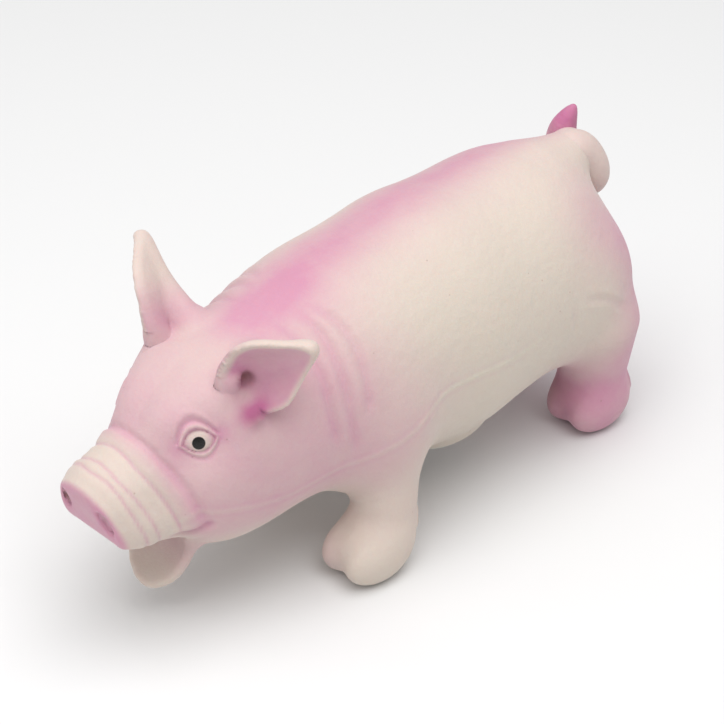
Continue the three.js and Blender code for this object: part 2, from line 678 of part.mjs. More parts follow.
function makeGrunter() {
  const core = at(GRUNTER_X, 0, BELLY_Z);
  const bellyZ = BELLY_Z - reachTo(underSkin, 0, core, at(0, 0, -1));
  const seat = at(GRUNTER_X, 0, bellyZ);
  const group = groupAt(seat);
  const flangeTop = -CLEARANCE;
  const flangeBottom = flangeTop - FLANGE_THICK;
  const caseInner = CASE_RADIUS - CASE_WALL;
  const plateUnder = CASE_HEIGHT - TOP_PLATE;
  const ringInner = REED_BLOCK_RADIUS + CLEARANCE;
  const ringOuter = ringInner + GRIP_RING_WALL;
  const blockTop = plateUnder - CLEARANCE;
  const gripEnd = blockTop - REED_GRIP;
  const caseOutline = [
    [caseInner, flangeBottom],
    [FLANGE_RADIUS, flangeBottom],
    [FLANGE_RADIUS, flangeTop],
    [CASE_RADIUS, flangeTop],
    [CASE_RADIUS, CASE_HEIGHT],
    [AIR_HOLE_RADIUS, CASE_HEIGHT],
    [AIR_HOLE_RADIUS, plateUnder],
    [ringInner, plateUnder],
    [ringInner, gripEnd],
    [ringOuter, gripEnd],
    [ringOuter, plateUnder],
    [caseInner, plateUnder],
  ];
  addLocal(group, "grunter_case", latheSolid(caseOutline, 32), casePlastic);

  const grilleFoot = flangeBottom + GRILLE_RECESS;
  let grille = post(caseInner - CLEARANCE, GRILLE_THICK, at(0, 0, grilleFoot), 32);
  const holeHeight = GRILLE_THICK + 2 * GRILLE_RECESS;
  for (let hole = 0; hole < GRILLE_HOLES; hole += 1) {
    const angle = (2 * Math.PI * hole) / GRILLE_HOLES;
    const [x, y] = [Math.cos(angle) * GRILLE_HOLE_CIRCLE, Math.sin(angle) * GRILLE_HOLE_CIRCLE];
    grille = grille.subtract(post(GRILLE_HOLE_RADIUS, holeHeight, at(x, y, flangeBottom), 10));
  }
  grille = grille.subtract(post(GRILLE_HOLE_RADIUS, holeHeight, at(0, 0, flangeBottom), 10));
  addLocal(group, "grunter_grille", grille, casePlastic);

  const blockFoot = blockTop - REED_BLOCK_LENGTH;
  const slotFoot = blockFoot + REED_FLOOR;
  const halfSlot = REED_SLOT_WIDTH / 2;
  const bore = post(REED_BORE_RADIUS, REED_BLOCK_LENGTH, at(-REED_BORE_OFFSET, 0, slotFoot), 16);
  const slotHigh = at(REED_BLOCK_RADIUS, halfSlot, slotFoot + REED_SLOT_LENGTH);
  const slot = boxBetween(at(-REED_BORE_OFFSET, -halfSlot, slotFoot), slotHigh);
  const beyondFlat = boxBetween(at(REED_FLAT, -FAR, -FAR), at(FAR, FAR, FAR));
  const block = post(REED_BLOCK_RADIUS, REED_BLOCK_LENGTH, at(0, 0, blockFoot), 24);
  addLocal(group, "reed_block", block.subtract(beyondFlat).subtract(bore).subtract(slot), casePlastic);

  const tongueX = REED_FLAT + CLEARANCE;
  const tongueLow = at(tongueX, -REED_TONGUE_WIDTH / 2, blockTop - REED_TONGUE_LENGTH);
  const tongueHigh = at(tongueX + REED_TONGUE_THICK, REED_TONGUE_WIDTH / 2, blockTop);
  addLocal(group, "reed_tongue", boxBetween(tongueLow, tongueHigh), reedMetal);

  const wedgeX = tongueX + REED_TONGUE_THICK + CLEARANCE;
  const beyondTongue = boxBetween(at(wedgeX, -FAR, -FAR), at(FAR, FAR, FAR));
  const wedge = post(REED_BLOCK_RADIUS, REED_GRIP, at(0, 0, gripEnd), 24).intersect(beyondTongue);
  addLocal(group, "reed_wedge", wedge, casePlastic);

  // The case goes through the belly's skin and stands in a pocket of the stuffing.
  const below = at(GRUNTER_X, 0, 0);
  const pocket = post(CASE_RADIUS + CLEARANCE, bellyZ + CASE_HEIGHT + CLEARANCE, below, 32);
  torsoSkin = torsoSkin.subtract(pocket);
  torsoStuffing = torsoStuffing.subtract(pocket);
}
makeGrunter();

// Skins and stuffing, with every opening cut

const trunkGroup = groupAt(at(0, 0, BELLY_Z));
addPiece(trunkGroup, "torso_skin", torsoSkin, creamLatex);
addPiece(trunkGroup, "torso_stuffing", torsoStuffing, fibre);
const headGroup = groupAt(at(HEAD_X, 0, HEAD_Z));
addPiece(headGroup, "head_skin", headSkin, creamLatex);
addPiece(headGroup, "head_stuffing", headStuffing, fibre);

const toy = new THREE.Group();
toy.add(pig);
const extent = new THREE.Box3().setFromObject(toy);
pig.position.x = -(extent.min.x + extent.max.x) / 2;

export default toy;
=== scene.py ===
import json
import math

import bmesh
import bpy
import numpy as np
from bpy.props import FloatProperty, FloatVectorProperty, PointerProperty
from mathutils import Matrix, Vector

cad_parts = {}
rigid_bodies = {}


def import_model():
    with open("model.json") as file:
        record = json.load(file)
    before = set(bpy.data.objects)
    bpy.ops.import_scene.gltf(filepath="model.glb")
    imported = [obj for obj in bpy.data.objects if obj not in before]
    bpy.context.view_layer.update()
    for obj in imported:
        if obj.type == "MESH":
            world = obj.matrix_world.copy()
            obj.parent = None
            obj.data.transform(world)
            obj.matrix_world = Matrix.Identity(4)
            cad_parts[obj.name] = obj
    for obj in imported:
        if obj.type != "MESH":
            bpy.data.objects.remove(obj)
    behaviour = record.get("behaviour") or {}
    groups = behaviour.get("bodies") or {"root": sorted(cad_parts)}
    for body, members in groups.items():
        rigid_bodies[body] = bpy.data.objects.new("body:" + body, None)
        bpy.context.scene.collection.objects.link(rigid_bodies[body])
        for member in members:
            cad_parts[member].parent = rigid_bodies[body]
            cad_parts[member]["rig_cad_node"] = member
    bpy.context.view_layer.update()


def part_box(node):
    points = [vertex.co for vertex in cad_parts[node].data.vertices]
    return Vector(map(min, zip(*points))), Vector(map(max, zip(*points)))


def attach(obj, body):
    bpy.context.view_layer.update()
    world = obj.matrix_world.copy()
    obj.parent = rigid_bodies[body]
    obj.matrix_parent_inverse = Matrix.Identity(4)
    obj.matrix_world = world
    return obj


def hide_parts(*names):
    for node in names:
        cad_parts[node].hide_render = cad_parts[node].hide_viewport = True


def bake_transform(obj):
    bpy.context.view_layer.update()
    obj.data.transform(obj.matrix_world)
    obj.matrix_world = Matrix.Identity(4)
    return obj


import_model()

bl_info = {
    "name": "Latex pig dog toy",
    "version": (1, 0, 0),
    "blender": (4, 5, 0),
    "location": "View3D > Sidebar > Latex pig",
    "description": "Moulds, parts and paints the skin of a stuffed latex pig over its CAD frame",
    "category": "Object",
}

# The forms are drawn in millimetres, with the pig's middle a little off the frame's.
MM = 0.001
GRUNTER_X = -24.0
case_low, case_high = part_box("grunter_case")
SHIFT = Vector(((case_low.x + case_high.x) / 2 - GRUNTER_X * MM, 0.0, 0.0))


def unit(vector):
    """A way one unit long"""
    return np.array(vector) / np.linalg.norm(vector)


# Swellings of the trunk and head: middle and half sizes
RUMP = ((-64, 0, 64), (35, 36, 39))
BELLY = ((-20, 0, 60.6), (56, 40, 44))
CHEST = ((24, 0, 61), (34, 37, 38))
NECK = ((50, 0, 58.4), (26, 30, 30.2))
HEAD = ((72, 0, 64), (28, 25, 25))
JOWL = ((76, 12, 48), (22, 13, 19))
SHOULDER = ((22.5, 23, 46), (15.5, 16, 24))
THIGH = ((-74.5, 21, 55), (22, 16, 24))
TRUNK = (RUMP, BELLY, CHEST, NECK, HEAD, JOWL)
HAMS = (SHOULDER, THIGH)
TRUNK_BLEND = 18
SNOUT_BLEND = 8
LIP_BLEND = 6
LIMB_BLEND = 10
TOE_BLEND = 6
SOLE_ROUND = 0.8
ASIDE = np.array((0.0, 1.0, 0.0))

# Snout: a cone that ends in a flat disc
SNOUT_ROOT = np.array((92.0, 0.0, 58.4))
SNOUT_END = np.array((110.4, 0.0, 52.2))
SNOUT_RADII = (14.4, 15.6)
SNOUT_WAY = unit(SNOUT_END - SNOUT_ROOT)
SNOUT_UP = np.array((-SNOUT_WAY[2], 0.0, SNOUT_WAY[0]))
SNOUT_DISC = SNOUT_END + 9.5 * SNOUT_WAY
SNOUT_DISC_ROUND = 3.0
# Upper lip: a plane under the snout, through the lower edge of its disc
LIP_EDGE = np.array((118.6, 0.0, 42.4))
LIP_WAY = np.array((0.311, 0.0, -0.950))
LIP = ((104, 9.5, 47), (14, 7.5, 7.5))
LIP_ROUND = 4
# Ring creases of the snout: distance along it, depth and width, then the fold where it meets the face
RING_CREASES = ((90.0, 0.35, 0.6), (86.6, 0.4, 0.7), (80.0, 0.5, 1.0))
FACE_FOLD = 74.6
NOSTRIL = SNOUT_DISC + 9.3 * ASIDE + 3.8 * SNOUT_UP
NOSTRIL_PIT = ((0.6, 0, 0), (5.2, 2.4, 4.6))
NOSTRIL_SLANT = 0.23
NOSTRIL_ROUND = 1.2

# Legs: hip, ankle, their radii, middle of the hoof, how far behind it the claws sit, and the blend at the hip
FRONT_LEG = ((20.5, 27, 42), (25, 30, 16), 11.2, 10.6, (33, 31, 9), 21, 3.0)
HIND_LEG = ((-81, 24, 42), (-84, 23, 16), 16, 11, (-81, 24, 9), 16, 5.0)
LEGS = (FRONT_LEG, HIND_LEG)
TOE_HALF = (13.5, 7, 9.5)
TOE_SPREADS = (-5.25, 5.25)
TOE_WEB = (12.2, 6.5, 9.0)
CLAW_HALF = (4.5, 3.4, 4.5)
CLAW_Z = 14
CLAW_SPREAD_SHARE = 0.9
CLAW_BLEND = 3
# Leg roots: a slanted cut, how far past it a leg follows its joint, the belly between the legs, and their top
LEG_CUT_WAY = np.array((0.0, 0.5, -0.8660254))
LEG_CUT = -8.0
LEG_FOLLOWS = 2.0
LEG_GAP = (-52.0, 2.0)
LEG_TOP = 48

# Ears and jaw: root, way along the leaf, and how far from the root the piece starts and follows its joint
EAR_ROOT = np.array((72.0, 15.784, 81.529))
EAR_WAY = unit((-9.3, 26.0, 23.8))
EAR_AHEAD = np.array((math.cos(math.radians(50)), math.sin(math.radians(50)), 0.0))
EAR_FACE = unit(EAR_AHEAD - (EAR_AHEAD @ EAR_WAY) * EAR_WAY)
EAR_ACROSS = np.cross(EAR_FACE, EAR_WAY)
EAR_OUTLINE = (
    (-0.5, 3.2), (3.9, 10), (8.1, 13), (13.5, 14.9), (19.2, 14.3), (23.6, 11.8), (27.1, 8.6),
    (30.9, 5.3), (33.4, 2.6), (34.2, 0.2), (33, -1.8), (30.5, -3.3), (26, -5.4), (21.7, -7.1),
    (17.7, -8.7), (14.5, -9.6), (10.4, -9.3), (5.4, -7.8), (0.5, -4.8), (-2, -1.5),
)
EAR_EDGE = 1.4
EAR_BLEND = 5
EAR_BOX = ((42, 4, 70), (95, 60, 130))
# Thick back of an ear: its ends and radii
EAR_RIDGE = (
    EAR_ROOT + 33.0 * EAR_WAY - 1.2 * EAR_FACE,
    EAR_ROOT + 4.0 * EAR_WAY + 1.0 * EAR_ACROSS - 9.0 * EAR_FACE,
    1.2, 5.4,
)
EAR_LOBE = EAR_ROOT + 5.2 * EAR_WAY + 5.8 * EAR_ACROSS + 1.6 * EAR_FACE
EAR_LOBE_HALF = (2.7, 2.7, 2.7)
EAR_LOBE_BLEND = 3
EAR_HOLE = EAR_ROOT + 6.4 * EAR_WAY + 3.3 * EAR_ACROSS + 0.6 * EAR_FACE
EAR_HOLE_HALF = (2.6, 2.8, 2.8)
EAR_HOLE_ROUND = 2
EAR_LENGTH = 34.2
# Where the skin counts as an ear's: ahead of its back, out from the head's middle and over the cheek
EAR_BACK = -13.0
EAR_BACK_X = 56.0
EAR_SIDE = 8
EAR_LOW = 72
RIGHT_EAR_STANDS = 4.2
RIGHT_EAR_BOWS = np.array((1.1, -1.1, 0.0))
EAR_CUT = 9.0
EAR_FOLLOWS = 18.0
JAW_ROOT = np.array((82.0, 0.0, 36.077))
JAW_PITCH = math.radians(66)
JAW_WAY = np.array((math.cos(JAW_PITCH), 0.0, -math.sin(JAW_PITCH)))
JAW_FACE = np.array((math.sin(JAW_PITCH), 0.0, math.cos(JAW_PITCH)))
JAW_OUTLINE = (
    (-5, 0), (-5, 8), (0, 13), (6, 14), (12, 13.2), (18, 12), (22.5, 10), (26, 6.5), (28.2, 2.4),
    (28.2, -2.4), (26, -6.5), (22.5, -10), (18, -12), (12, -13.2), (6, -14), (0, -13), (-5, -8),
)
JAW_THICKNESS = 2.6
JAW_EDGE = 2.5
JAW_BLEND = 6
JAW_BOX = ((66, -1, -20), (140, 60, 52))
JAW_SIDE = 18
JAW_BACK_X = 68
JAW_TOP = 34
JAW_CUT = 9.0
JAW_FOLLOWS = 17.0
MOUTH = ((96, 0, 38.0), (9, 14, 4.5))
MOUTH_ROUND = 3

# Balls that stand for an ear or the jaw before it is settled
LEAF_STEP = 2.0
LEAF_HALF_WIDTH = 16.0
LEAF_MARGIN = 2.4
LEAF_RIM_INSET = 1.5
LEAF_BALL_HALF = (1.8, 1.8, 1.8)
# Farthest that one step of settling moves a point
MOST_SETTLED = 1.2
# How far round an eye and a nostril the mesh is finer
EYE_FINE = 13
NOSTRIL_FINE = 8

# Tail: points of its middle line from the root, each with a radius
TAIL_ROOT = np.array((-87.0, 0.0, 92.0))
TAIL_PATH = np.array((
    (1.0, 0.0, -2.0, 7.4),
    (-4.4, 1.0, 2.2, 7.2),
    (-8.2, 2.4, 0.4, 6.9),
    (-10.8, 4.4, -4.8, 6.4),
    (-11.6, 3.6, -9.5, 6.0),
    (-12.0, -3.0, -11.5, 5.6),
    (-10.8, -8.6, -8.0, 5.2),
    (-10.2, -9.0, -1.0, 5.0),
    (-10.0, -8.0, 5.0, 4.5),
    (-11.2, -7.0, 9.6, 3.0),
    (-12.6, -6.0, 13.2, 1.3),
))
TAIL_SWELL = ((-78, 0, 90), (-92.5, 1.0, 94.2), 11.0, 7.1)
TAIL_SWELL_BLEND = 9
TAIL_STEPS = 26
TAIL_BALLS = 40
TAIL_MESH_STEP = 1.0
TAIL_CUT = -90.0
TAIL_FOLLOWS = -100.0

# Flanks: middle and half sizes of the dimple that a squeeze presses in, parted into wedges
FLANK = (-24.0, 62.0)
FLANK_HALF = (30.0, 22.0)
FLANK_WEDGES = 6
FLANK_SIDE = 20
COLLAR_X = 50.0
# Faces this near a cut are parted by it
CUT_REACH = 4
# Spine's band of pink: its turn to the right at the pig's middle, and more for each millimetre behind it
SPINE_DRIFT = (-0.13, 0.0026)
SPINE_DRIFT_END = -0.46
SPINE_TURNS_Z = 56
# Grunter's seat in the belly
CASE_SEAT_Z = 16.15
CASE_SEAT_RADIUS = 16.5
CASE_SEAT_FADE = 9
CASE_HOLE_RADIUS = 13.4
BELLY_LOW = 30

# Face
EYE = np.array((90.2, 18.4, 73.1))
EYE_WAY = unit((-9.7, 4.5, 2.4))
PUPIL = np.array((90.7, 18.7, 72.8))
# Brow and cheek swellings: height, middle and reach
BROW_SWELLS = ((2.2, (82, 18, 81), 10), (3.2, (95, 10, 77), 9), (1.0, (84, 13, 85), 11))

# Lines traced on the skin of the left side, mirrored on the right, each fading at its ends over a share of it
LINE_FADE = 0.16
PARTING_LINE = (
    (102.7, 16.7, 47.2), (99.8, 19.2, 49), (95.2, 22.5, 50.7), (90, 25, 50), (83.8, 27.1, 49),
    (60.7, 29.8, 45.9), (42.5, 33.9, 48.3), (33, 37, 50.5), (22, 40.5, 54), (13, 41, 58),
    (4, 39.5, 60.8), (-12.9, 39.7, 60.5), (-32.1, 39.2, 59.8), (-47.1, 38.6, 61.6),
)
NECK_CREASES = (
    ((52, 4.3, 93.1), (49.4, 16.3, 89.6), (48.4, 26.3, 81.2), (49.4, 32.4, 68.1), (47.1, 33.5, 54.3)),
    ((43.8, 5.9, 94.9), (41.7, 18.4, 90.7), (42.1, 28.4, 81), (42.9, 34.4, 65.9), (41.2, 34.8, 50.1)),
    ((39.6, 8.1, 95.9), (34.8, 23, 89.7), (35.2, 32.2, 77.8), (36.4, 36.5, 63.7)),
)
LEG_FOLDS = (
    ((8, 40.4, 63), (10.8, 40.7, 58.9), (15.9, 42.3, 54.6), (18.7, 43.5, 48.9)),
    ((-54.2, 38.5, 66.1), (-55, 39.2, 56.3), (-54.4, 38.1, 48)),
    ((-58.8, 38.8, 66.1), (-71.2, 39.1, 60.7), (-82, 37.5, 52)),
)
MOUTH_LINE = (
    (103, 13.5, 43.5), (98, 17.5, 42.3), (95.6, 19.6, 42.1), (92.8, 22.3, 44.1), (89.5, 24.2, 46.5),
)

# Airbrushed spots, and spots of painted shade: strength, middle and reach
BLUSH_SPOTS = (
    (0.55, (-76, 24, 82), 16), (0.95, (-82, 24, 14), 25), (0.25, (-74, 25, 4), 14),
    (0.22, (20, 40, 58), 18), (0.22, (22, 24, 22), 20), (0.25, (44, 24, 8), 9),
)
EAR_BLUSH_SPOTS = ((0.4, EAR_LOBE, 5),)
MAGENTA_SPOTS = (
    (0.15, (-78, 26, 10), 16), (0.35, EAR_HOLE + 3.2 * EAR_ACROSS, 3.2), (0.25, EAR_LOBE, 4.5),
    # The two spots under the ear's lower rim are deep pink airbrush, darkened as painted shadow under the ear
    (0.9, (75, 23.5, 78), 3.4), (0.9, (71, 25, 79.5), 3.4),
)
# Painted shade: inside the hind hooves, in the ear holes, under the ears' lower rims and in the mouth at the
# lower jaw's root
PAINTED_SHADE_SPOTS = (
    (0.30, (-68, 17, 13), 9), (0.85, EAR_HOLE - 1.2 * EAR_FACE, 3.0), (0.30, (73.5, 24.5, 76), 3),
    (0.20, (92, 10, 37), 8), (0.20, (92, 0, 36), 9),
)

# Strength and height of the bumps of latex and of moulded stock, and the latex finish
LATEX_BUMP = (0.35, 0.0006)
STOCK_BUMP = (0.2, 0.0002)
LATEX_FINISH = {
    "Specular IOR Level": 0.3,
    "Subsurface Weight": 0.12,
    "Subsurface Radius": (1.0, 0.45, 0.3),
    "Subsurface Scale": 0.003,
    "Sheen Weight": 0.12,
    "Sheen Roughness": 0.5,
}
# Lights: places, sizes and shares of the key's power
LIGHTS = (
    ("Key light", (0.15, 0.2, 1.15), 1.1, 1.0),
    ("Fill light", (1.0, -0.3, 0.8), 0.8, 0.15),
)
LIGHTS_AIM = Vector((0, 0, 0.05))
FLOOR_SIZE = 4.0
# Camera: the spot that it is set out from, and how many pixels of a square picture its aim is off that spot
CAMERA_SPOT = Vector((2, 0, 54))
AIM_PIXELS = (8, 7)
PICTURE_PIXELS = 724
SENSOR = 36.0


class PigForm(bpy.types.PropertyGroup):
    """Sizes of the moulded skin"""

    mesh_step: FloatProperty(
        name="Mesh step", description="Edge length of the first skin mesh, in millimetres",
        default=1.6, min=1.0, max=4.0,
    )
    ear_thickness: FloatProperty(
        name="Ear thickness", description="Half thickness of an ear, in millimetres",
        default=1.6, min=0.8, max=3.0,
    )
    ear_cup: FloatProperty(
        name="Ear cup", description="How far an ear's rims stand in front of its middle, in millimetres",
        default=5.0, min=0.0, max=9.0,
    )
    jaw_cup: FloatProperty(
        name="Jaw cup", description="Depth of the lower jaw's scoop, in millimetres",
        default=4.5, min=0.0, max=9.0,
    )
    eye_length: FloatProperty(
        name="Eye length", description="Half length of an eye, in millimetres",
        default=5.1, min=2.0, max=9.0,
    )
    eye_height: FloatProperty(
        name="Eye height", description="Half height of an eye, in millimetres",
        default=3.6, min=1.0, max=6.0,
    )
    pupil_radius: FloatProperty(
        name="Pupil radius", description="Radius of the painted pupil",
        default=2.0 * MM, min=0.0005, max=0.004, unit="LENGTH",
    )
    crease_depth: FloatProperty(
        name="Crease depth", description="Depth of the skin's creases against the drawn depth",
        default=1.0, min=0.0, max=2.0, subtype="FACTOR",
    )
    parting_ridge: FloatProperty(
        name="Parting ridge", description="Height of the mould's parting line, in millimetres",
        default=0.2, min=0.0, max=1.0,
    )


class PigPaint(bpy.types.PropertyGroup):
    """Colours and finish of the latex and of the grunter"""

    cream: FloatVectorProperty(
        name="Cream", description="Bare latex",
        default=(0.63, 0.565, 0.48), subtype="COLOR", min=0.0, max=1.0,
    )
    pink: FloatVectorProperty(
        name="Pink", description="Airbrushed blush",
        default=(0.575, 0.285, 0.38), subtype="COLOR", min=0.0, max=1.0,
    )
    magenta: FloatVectorProperty(
        name="Magenta", description="Deep airbrush on the spine and tail tip",
        default=(0.47, 0.14, 0.275), subtype="COLOR", min=0.0, max=1.0,
    )
    # Painted shade: a brown mixed into the creases, pits and hollows where shade falls
    painted_shade: FloatVectorProperty(
        name="Painted hollow shade", description="Brown that gathers in the hollows",
        default=(0.16, 0.06, 0.05), subtype="COLOR", min=0.0, max=1.0,
    )
    pupil: FloatVectorProperty(
        name="Pupil", description="Painted pupils",
        default=(0.004, 0.004, 0.003), subtype="COLOR", min=0.0, max=1.0,
    )
    plastic: FloatVectorProperty(
        name="Grunter plastic", description="Case and grille of the grunter",
        default=(0.78, 0.76, 0.70), subtype="COLOR", min=0.0, max=1.0,
    )
    brass: FloatVectorProperty(
        name="Reed brass", description="Tongue of the reed",
        default=(0.60, 0.42, 0.16), subtype="COLOR", min=0.0, max=1.0,
    )
    roughness: FloatProperty(
        name="Roughness", description="Roughness of the latex",
        default=0.62, min=0.2, max=1.0, subtype="FACTOR",
    )


class PigStage(bpy.types.PropertyGroup):
    """Camera, floor and light"""

    azimuth: FloatProperty(
        name="Azimuth", description="Camera's turn from the snout's way",
        default=math.radians(46), unit="ROTATION",
    )
    elevation: FloatProperty(
        name="Elevation", description="Camera's rise over the floor",
        default=math.radians(34), unit="ROTATION",
    )
    distance: FloatProperty(
        name="Distance", description="From the camera to the pig", default=0.8, unit="LENGTH"
    )
    lens: FloatProperty(
        name="Lens", description="Focal length on a 36 mm sensor, in millimetres",
        default=121.8, min=20, max=300,
    )
    floor: FloatVectorProperty(
        name="Floor", description="Colour of the floor",
        default=(0.76, 0.76, 0.76), subtype="COLOR", min=0.0, max=1.0,
    )
    key_power: FloatProperty(
        name="Key light", description="Power of the soft light overhead",
        default=13.0, min=0.0, unit="POWER",
    )
    sky: FloatProperty(
        name="Sky", description="Strength of the even light all round",
        default=0.55, min=0.0, max=4.0,
    )


# Places


def near_side(p):
    """The same places, folded over to the left side"""
    return np.stack((p[:, 0], np.abs(p[:, 1]), p[:, 2]), axis=1)


def mirrored(vector, side):
    """The same place or way, on the left side at 1 and on the right side at -1"""
    return np.array((vector[0], side * vector[1], vector[2]))


def within(p, low, high):
    """Whether places lie in a box"""
    return np.all((p > low) & (p < high), axis=1)


# Signed depth of points: negative under the surface and positive above it


def under_ball(p, centre, half):
    """A ball with its own half size along each axis"""
    half = np.array(half, p.dtype)
    q = (p - np.array(centre, p.dtype)) / half
    reach = np.linalg.norm(q, axis=1)
    slope = np.linalg.norm(q / half, axis=1)
    return reach * (reach - 1) / np.maximum(slope, 1e-6)


def under_cone(p, start, end, start_radius, end_radius):
    """A tapering limb with domed ends"""
    start = np.array(start, p.dtype)
    way = np.array(end, p.dtype) - start
    along = np.clip((p - start) @ way / (way @ way), 0, 1)
    reach = np.linalg.norm(p - start - along[:, None] * way, axis=1)
    return reach - start_radius - (end_radius - start_radius) * along


def merge(a, b, width):
    """Two forms that flow into each other over a width"""
    near = np.maximum(width - np.abs(a - b), 0) / width
    return np.minimum(a, b) - near * near * width / 4


def carve(a, b, width):
    """A form with another cut out of it"""
    return -merge(-a, b, width)


def rise(value, low, high):
    """Smooth step from 0 at low to 1 at high"""
    t = np.clip((value - low) / (high - low), 0, 1)
    return t * t * (3 - 2 * t)


def curve(a, b, c, d, t):
    """Smooth curve from b to c, with a before them and d after them"""
    bend = 2 * a - 5 * b + 4 * c - d
    twist = 3 * b - a - 3 * c + d
    return 0.5 * (2 * b + (c - a) * t + bend * t * t + twist * t ** 3)


def smooth_outline(points):
    """A closed smooth line through points in a plane"""
    points = np.array(points, float)
    a, b, c, d = (np.roll(points, k, axis=0)[:, None, :] for k in (1, 0, -1, -2))
    t = np.linspace(0, 1, 3, endpoint=False)[None, :, None]
    return curve(a, b, c, d, t).reshape(-1, 2)


def smooth_line(points, count=28):
    """An open smooth line through points"""
    points = np.array(points, float)
    knots = np.vstack((2 * points[0] - points[1], points, 2 * points[-1] - points[-2]))
    place = np.linspace(0, len(points) - 1.0001, count)
    i = place.astype(int)
    t = (place - i)[:, None]
    return curve(*(knots[i + k] for k in range(4)), t)


def past_outline(along, across, outline):
    """Distance from a closed line in a plane, negative inside it"""
    place = np.stack((along, across), axis=1)
    best = np.full(len(place), 1e6, place.dtype)
    inside = np.zeros(len(place), bool)
    for a, b in zip(outline, np.roll(outline, -1, axis=0)):
        way = b - a
        t = np.clip((place - a) @ way / (way @ way), 0, 1)
        best = np.minimum(best, ((place - a - t[:, None] * way) ** 2).sum(axis=1))
        spans = (a[1] > across) != (b[1] > across)
        climb = way[1] if abs(way[1]) > 1e-9 else 1e-9
        inside ^= spans & (along < a[0] + way[0] * (across - a[1]) / climb)
    return np.where(inside, -1, 1) * np.sqrt(best)


def under_leaf(past, out, lift, thick, edge):
    """A plate with a rounded edge, by the distance past its outline and the lift of its middle face"""
    over = past + edge
    deep = np.abs(out - lift) - thick + edge
    outside = np.sqrt(np.maximum(over, 0) ** 2 + np.maximum(deep, 0) ** 2)
    return outside + np.minimum(np.maximum(over, deep), 0) - edge


def ear_lift(past, along, across, form):
    """Height of an ear's middle face: the rim, which curls forward low down, less the cup"""
    curl = 3.0 * rise(-across, 1, 9) * (1 - rise(along, 12, 26))
    rim = 3.0 - 3.5 * np.clip(along / 35, 0, 1.2) ** 1.5 + curl
    return rim - form.ear_cup * (1 - np.clip(1 + past / 11, 0, 1.12) ** 2)


def jaw_lift(past, along, form):
    """Height of the lower jaw's middle face, scooped and turned up at its tip"""
    return form.jaw_cup * np.clip(1 + past / 12, 0, 1.15) ** 2 + 1.0 + 1.5 * rise(along, 14, 28)


def leaf_places(p, root, way, across, face):
    """Places along, across and out of a leaf"""
    q = p - root.astype(p.dtype)
    return q @ way.astype(p.dtype), q @ across.astype(p.dtype), q @ face.astype(p.dtype)


def under_ear(p, form):
    along, across, out = leaf_places(p, EAR_ROOT, EAR_WAY, EAR_ACROSS, EAR_FACE)
    past = past_outline(along, across, smooth_outline(EAR_OUTLINE))
    leaf = under_leaf(past, out, ear_lift(past, along, across, form), form.ear_thickness, EAR_EDGE)
    return merge(leaf, under_cone(p, *EAR_RIDGE), EAR_BLEND)


def under_jaw(p, form):
    along, across, out = leaf_places(p, JAW_ROOT, JAW_WAY, ASIDE, JAW_FACE)
    past = past_outline(along, across, smooth_outline(JAW_OUTLINE))
    return under_leaf(past, out, jaw_lift(past, along, form), JAW_THICKNESS, JAW_EDGE)


def under_leg(p, hip, ankle, hip_radius, ankle_radius, hoof, claws_back):
    """A stubby leg with two toes, the web between them and two claws behind"""
    leg = under_cone(p, hip, ankle, hip_radius, ankle_radius)
    for spread in TOE_SPREADS:
        leg = merge(leg, under_ball(p, (hoof[0], hoof[1] + spread, hoof[2]), TOE_HALF), TOE_BLEND)
        claw = (hoof[0] - claws_back, hoof[1] + CLAW_SPREAD_SHARE * spread, CLAW_Z)
        leg = merge(leg, under_ball(p, claw, CLAW_HALF), CLAW_BLEND)
    return merge(leg, under_ball(p, (hoof[0] - 1, hoof[1], hoof[2] + 2), TOE_WEB), CLAW_BLEND)


def past_disc(p):
    """Distance of places beyond the snout's disc"""
    return (p - SNOUT_DISC.astype(p.dtype)) @ SNOUT_WAY.astype(p.dtype)


def under_snout(p):
    """The snout and its upper lip, cut flat at the disc and under the lip"""
    snout = merge(under_cone(p, SNOUT_ROOT, SNOUT_END, *SNOUT_RADII), under_ball(p, *LIP), LIP_BLEND)
    below = (p - LIP_EDGE.astype(p.dtype)) @ LIP_WAY.astype(p.dtype)
    return carve(carve(snout, -past_disc(p), SNOUT_DISC_ROUND), -below, LIP_ROUND)


def with_ear(depth, p, form):
    """The form with an ear, its lobe and its hole"""
    ear = merge(depth, under_ear(p, form), EAR_BLEND)
    ear = merge(ear, under_ball(p, EAR_LOBE, EAR_LOBE_HALF), EAR_LOBE_BLEND)
    return carve(ear, under_ball(p, EAR_HOLE, EAR_HOLE_HALF), EAR_HOLE_ROUND)


def with_jaw(depth, p, form):
    """The form with the lower jaw and the hollow of the mouth"""
    jaw = merge(depth, under_jaw(p, form), JAW_BLEND)
    return carve(jaw, under_ball(p, *MOUTH), MOUTH_ROUND)


def with_nostril(depth, p, form):
    """The form with a slanted pit for a nostril"""
    local = np.stack(leaf_places(p, NOSTRIL, SNOUT_WAY, ASIDE, SNOUT_UP), axis=1)
    local[:, 1] += NOSTRIL_SLANT * local[:, 2]
    return carve(depth, under_ball(local, *NOSTRIL_PIT), NOSTRIL_ROUND)


def under_skin(points, form):
    """The whole skin but the tail, as one flowing form"""
    p = near_side(points)
    depth = under_ball(p, *TRUNK[0])
    for centre, half in TRUNK[1:]:
        depth = merge(depth, under_ball(p, centre, half), TRUNK_BLEND)
    depth = merge(depth, under_snout(p), SNOUT_BLEND)
    for centre, half in HAMS:
        depth = merge(depth, under_ball(p, centre, half), LIMB_BLEND)
    for *leg, hip_blend in LEGS:
        depth = merge(depth, under_leg(p, *leg), hip_blend)
    depth = merge(depth, under_cone(p, *TAIL_SWELL), TAIL_SWELL_BLEND)
    on_disc = past_disc(p) > -12
    details = ((within(p, *EAR_BOX), with_ear), (within(p, *JAW_BOX), with_jaw), (on_disc, with_nostril))
    for near, with_detail in details:
        if near.any():
            depth[near] = with_detail(depth[near], p[near], form)
    return carve(depth, p[:, 2], SOLE_ROUND)


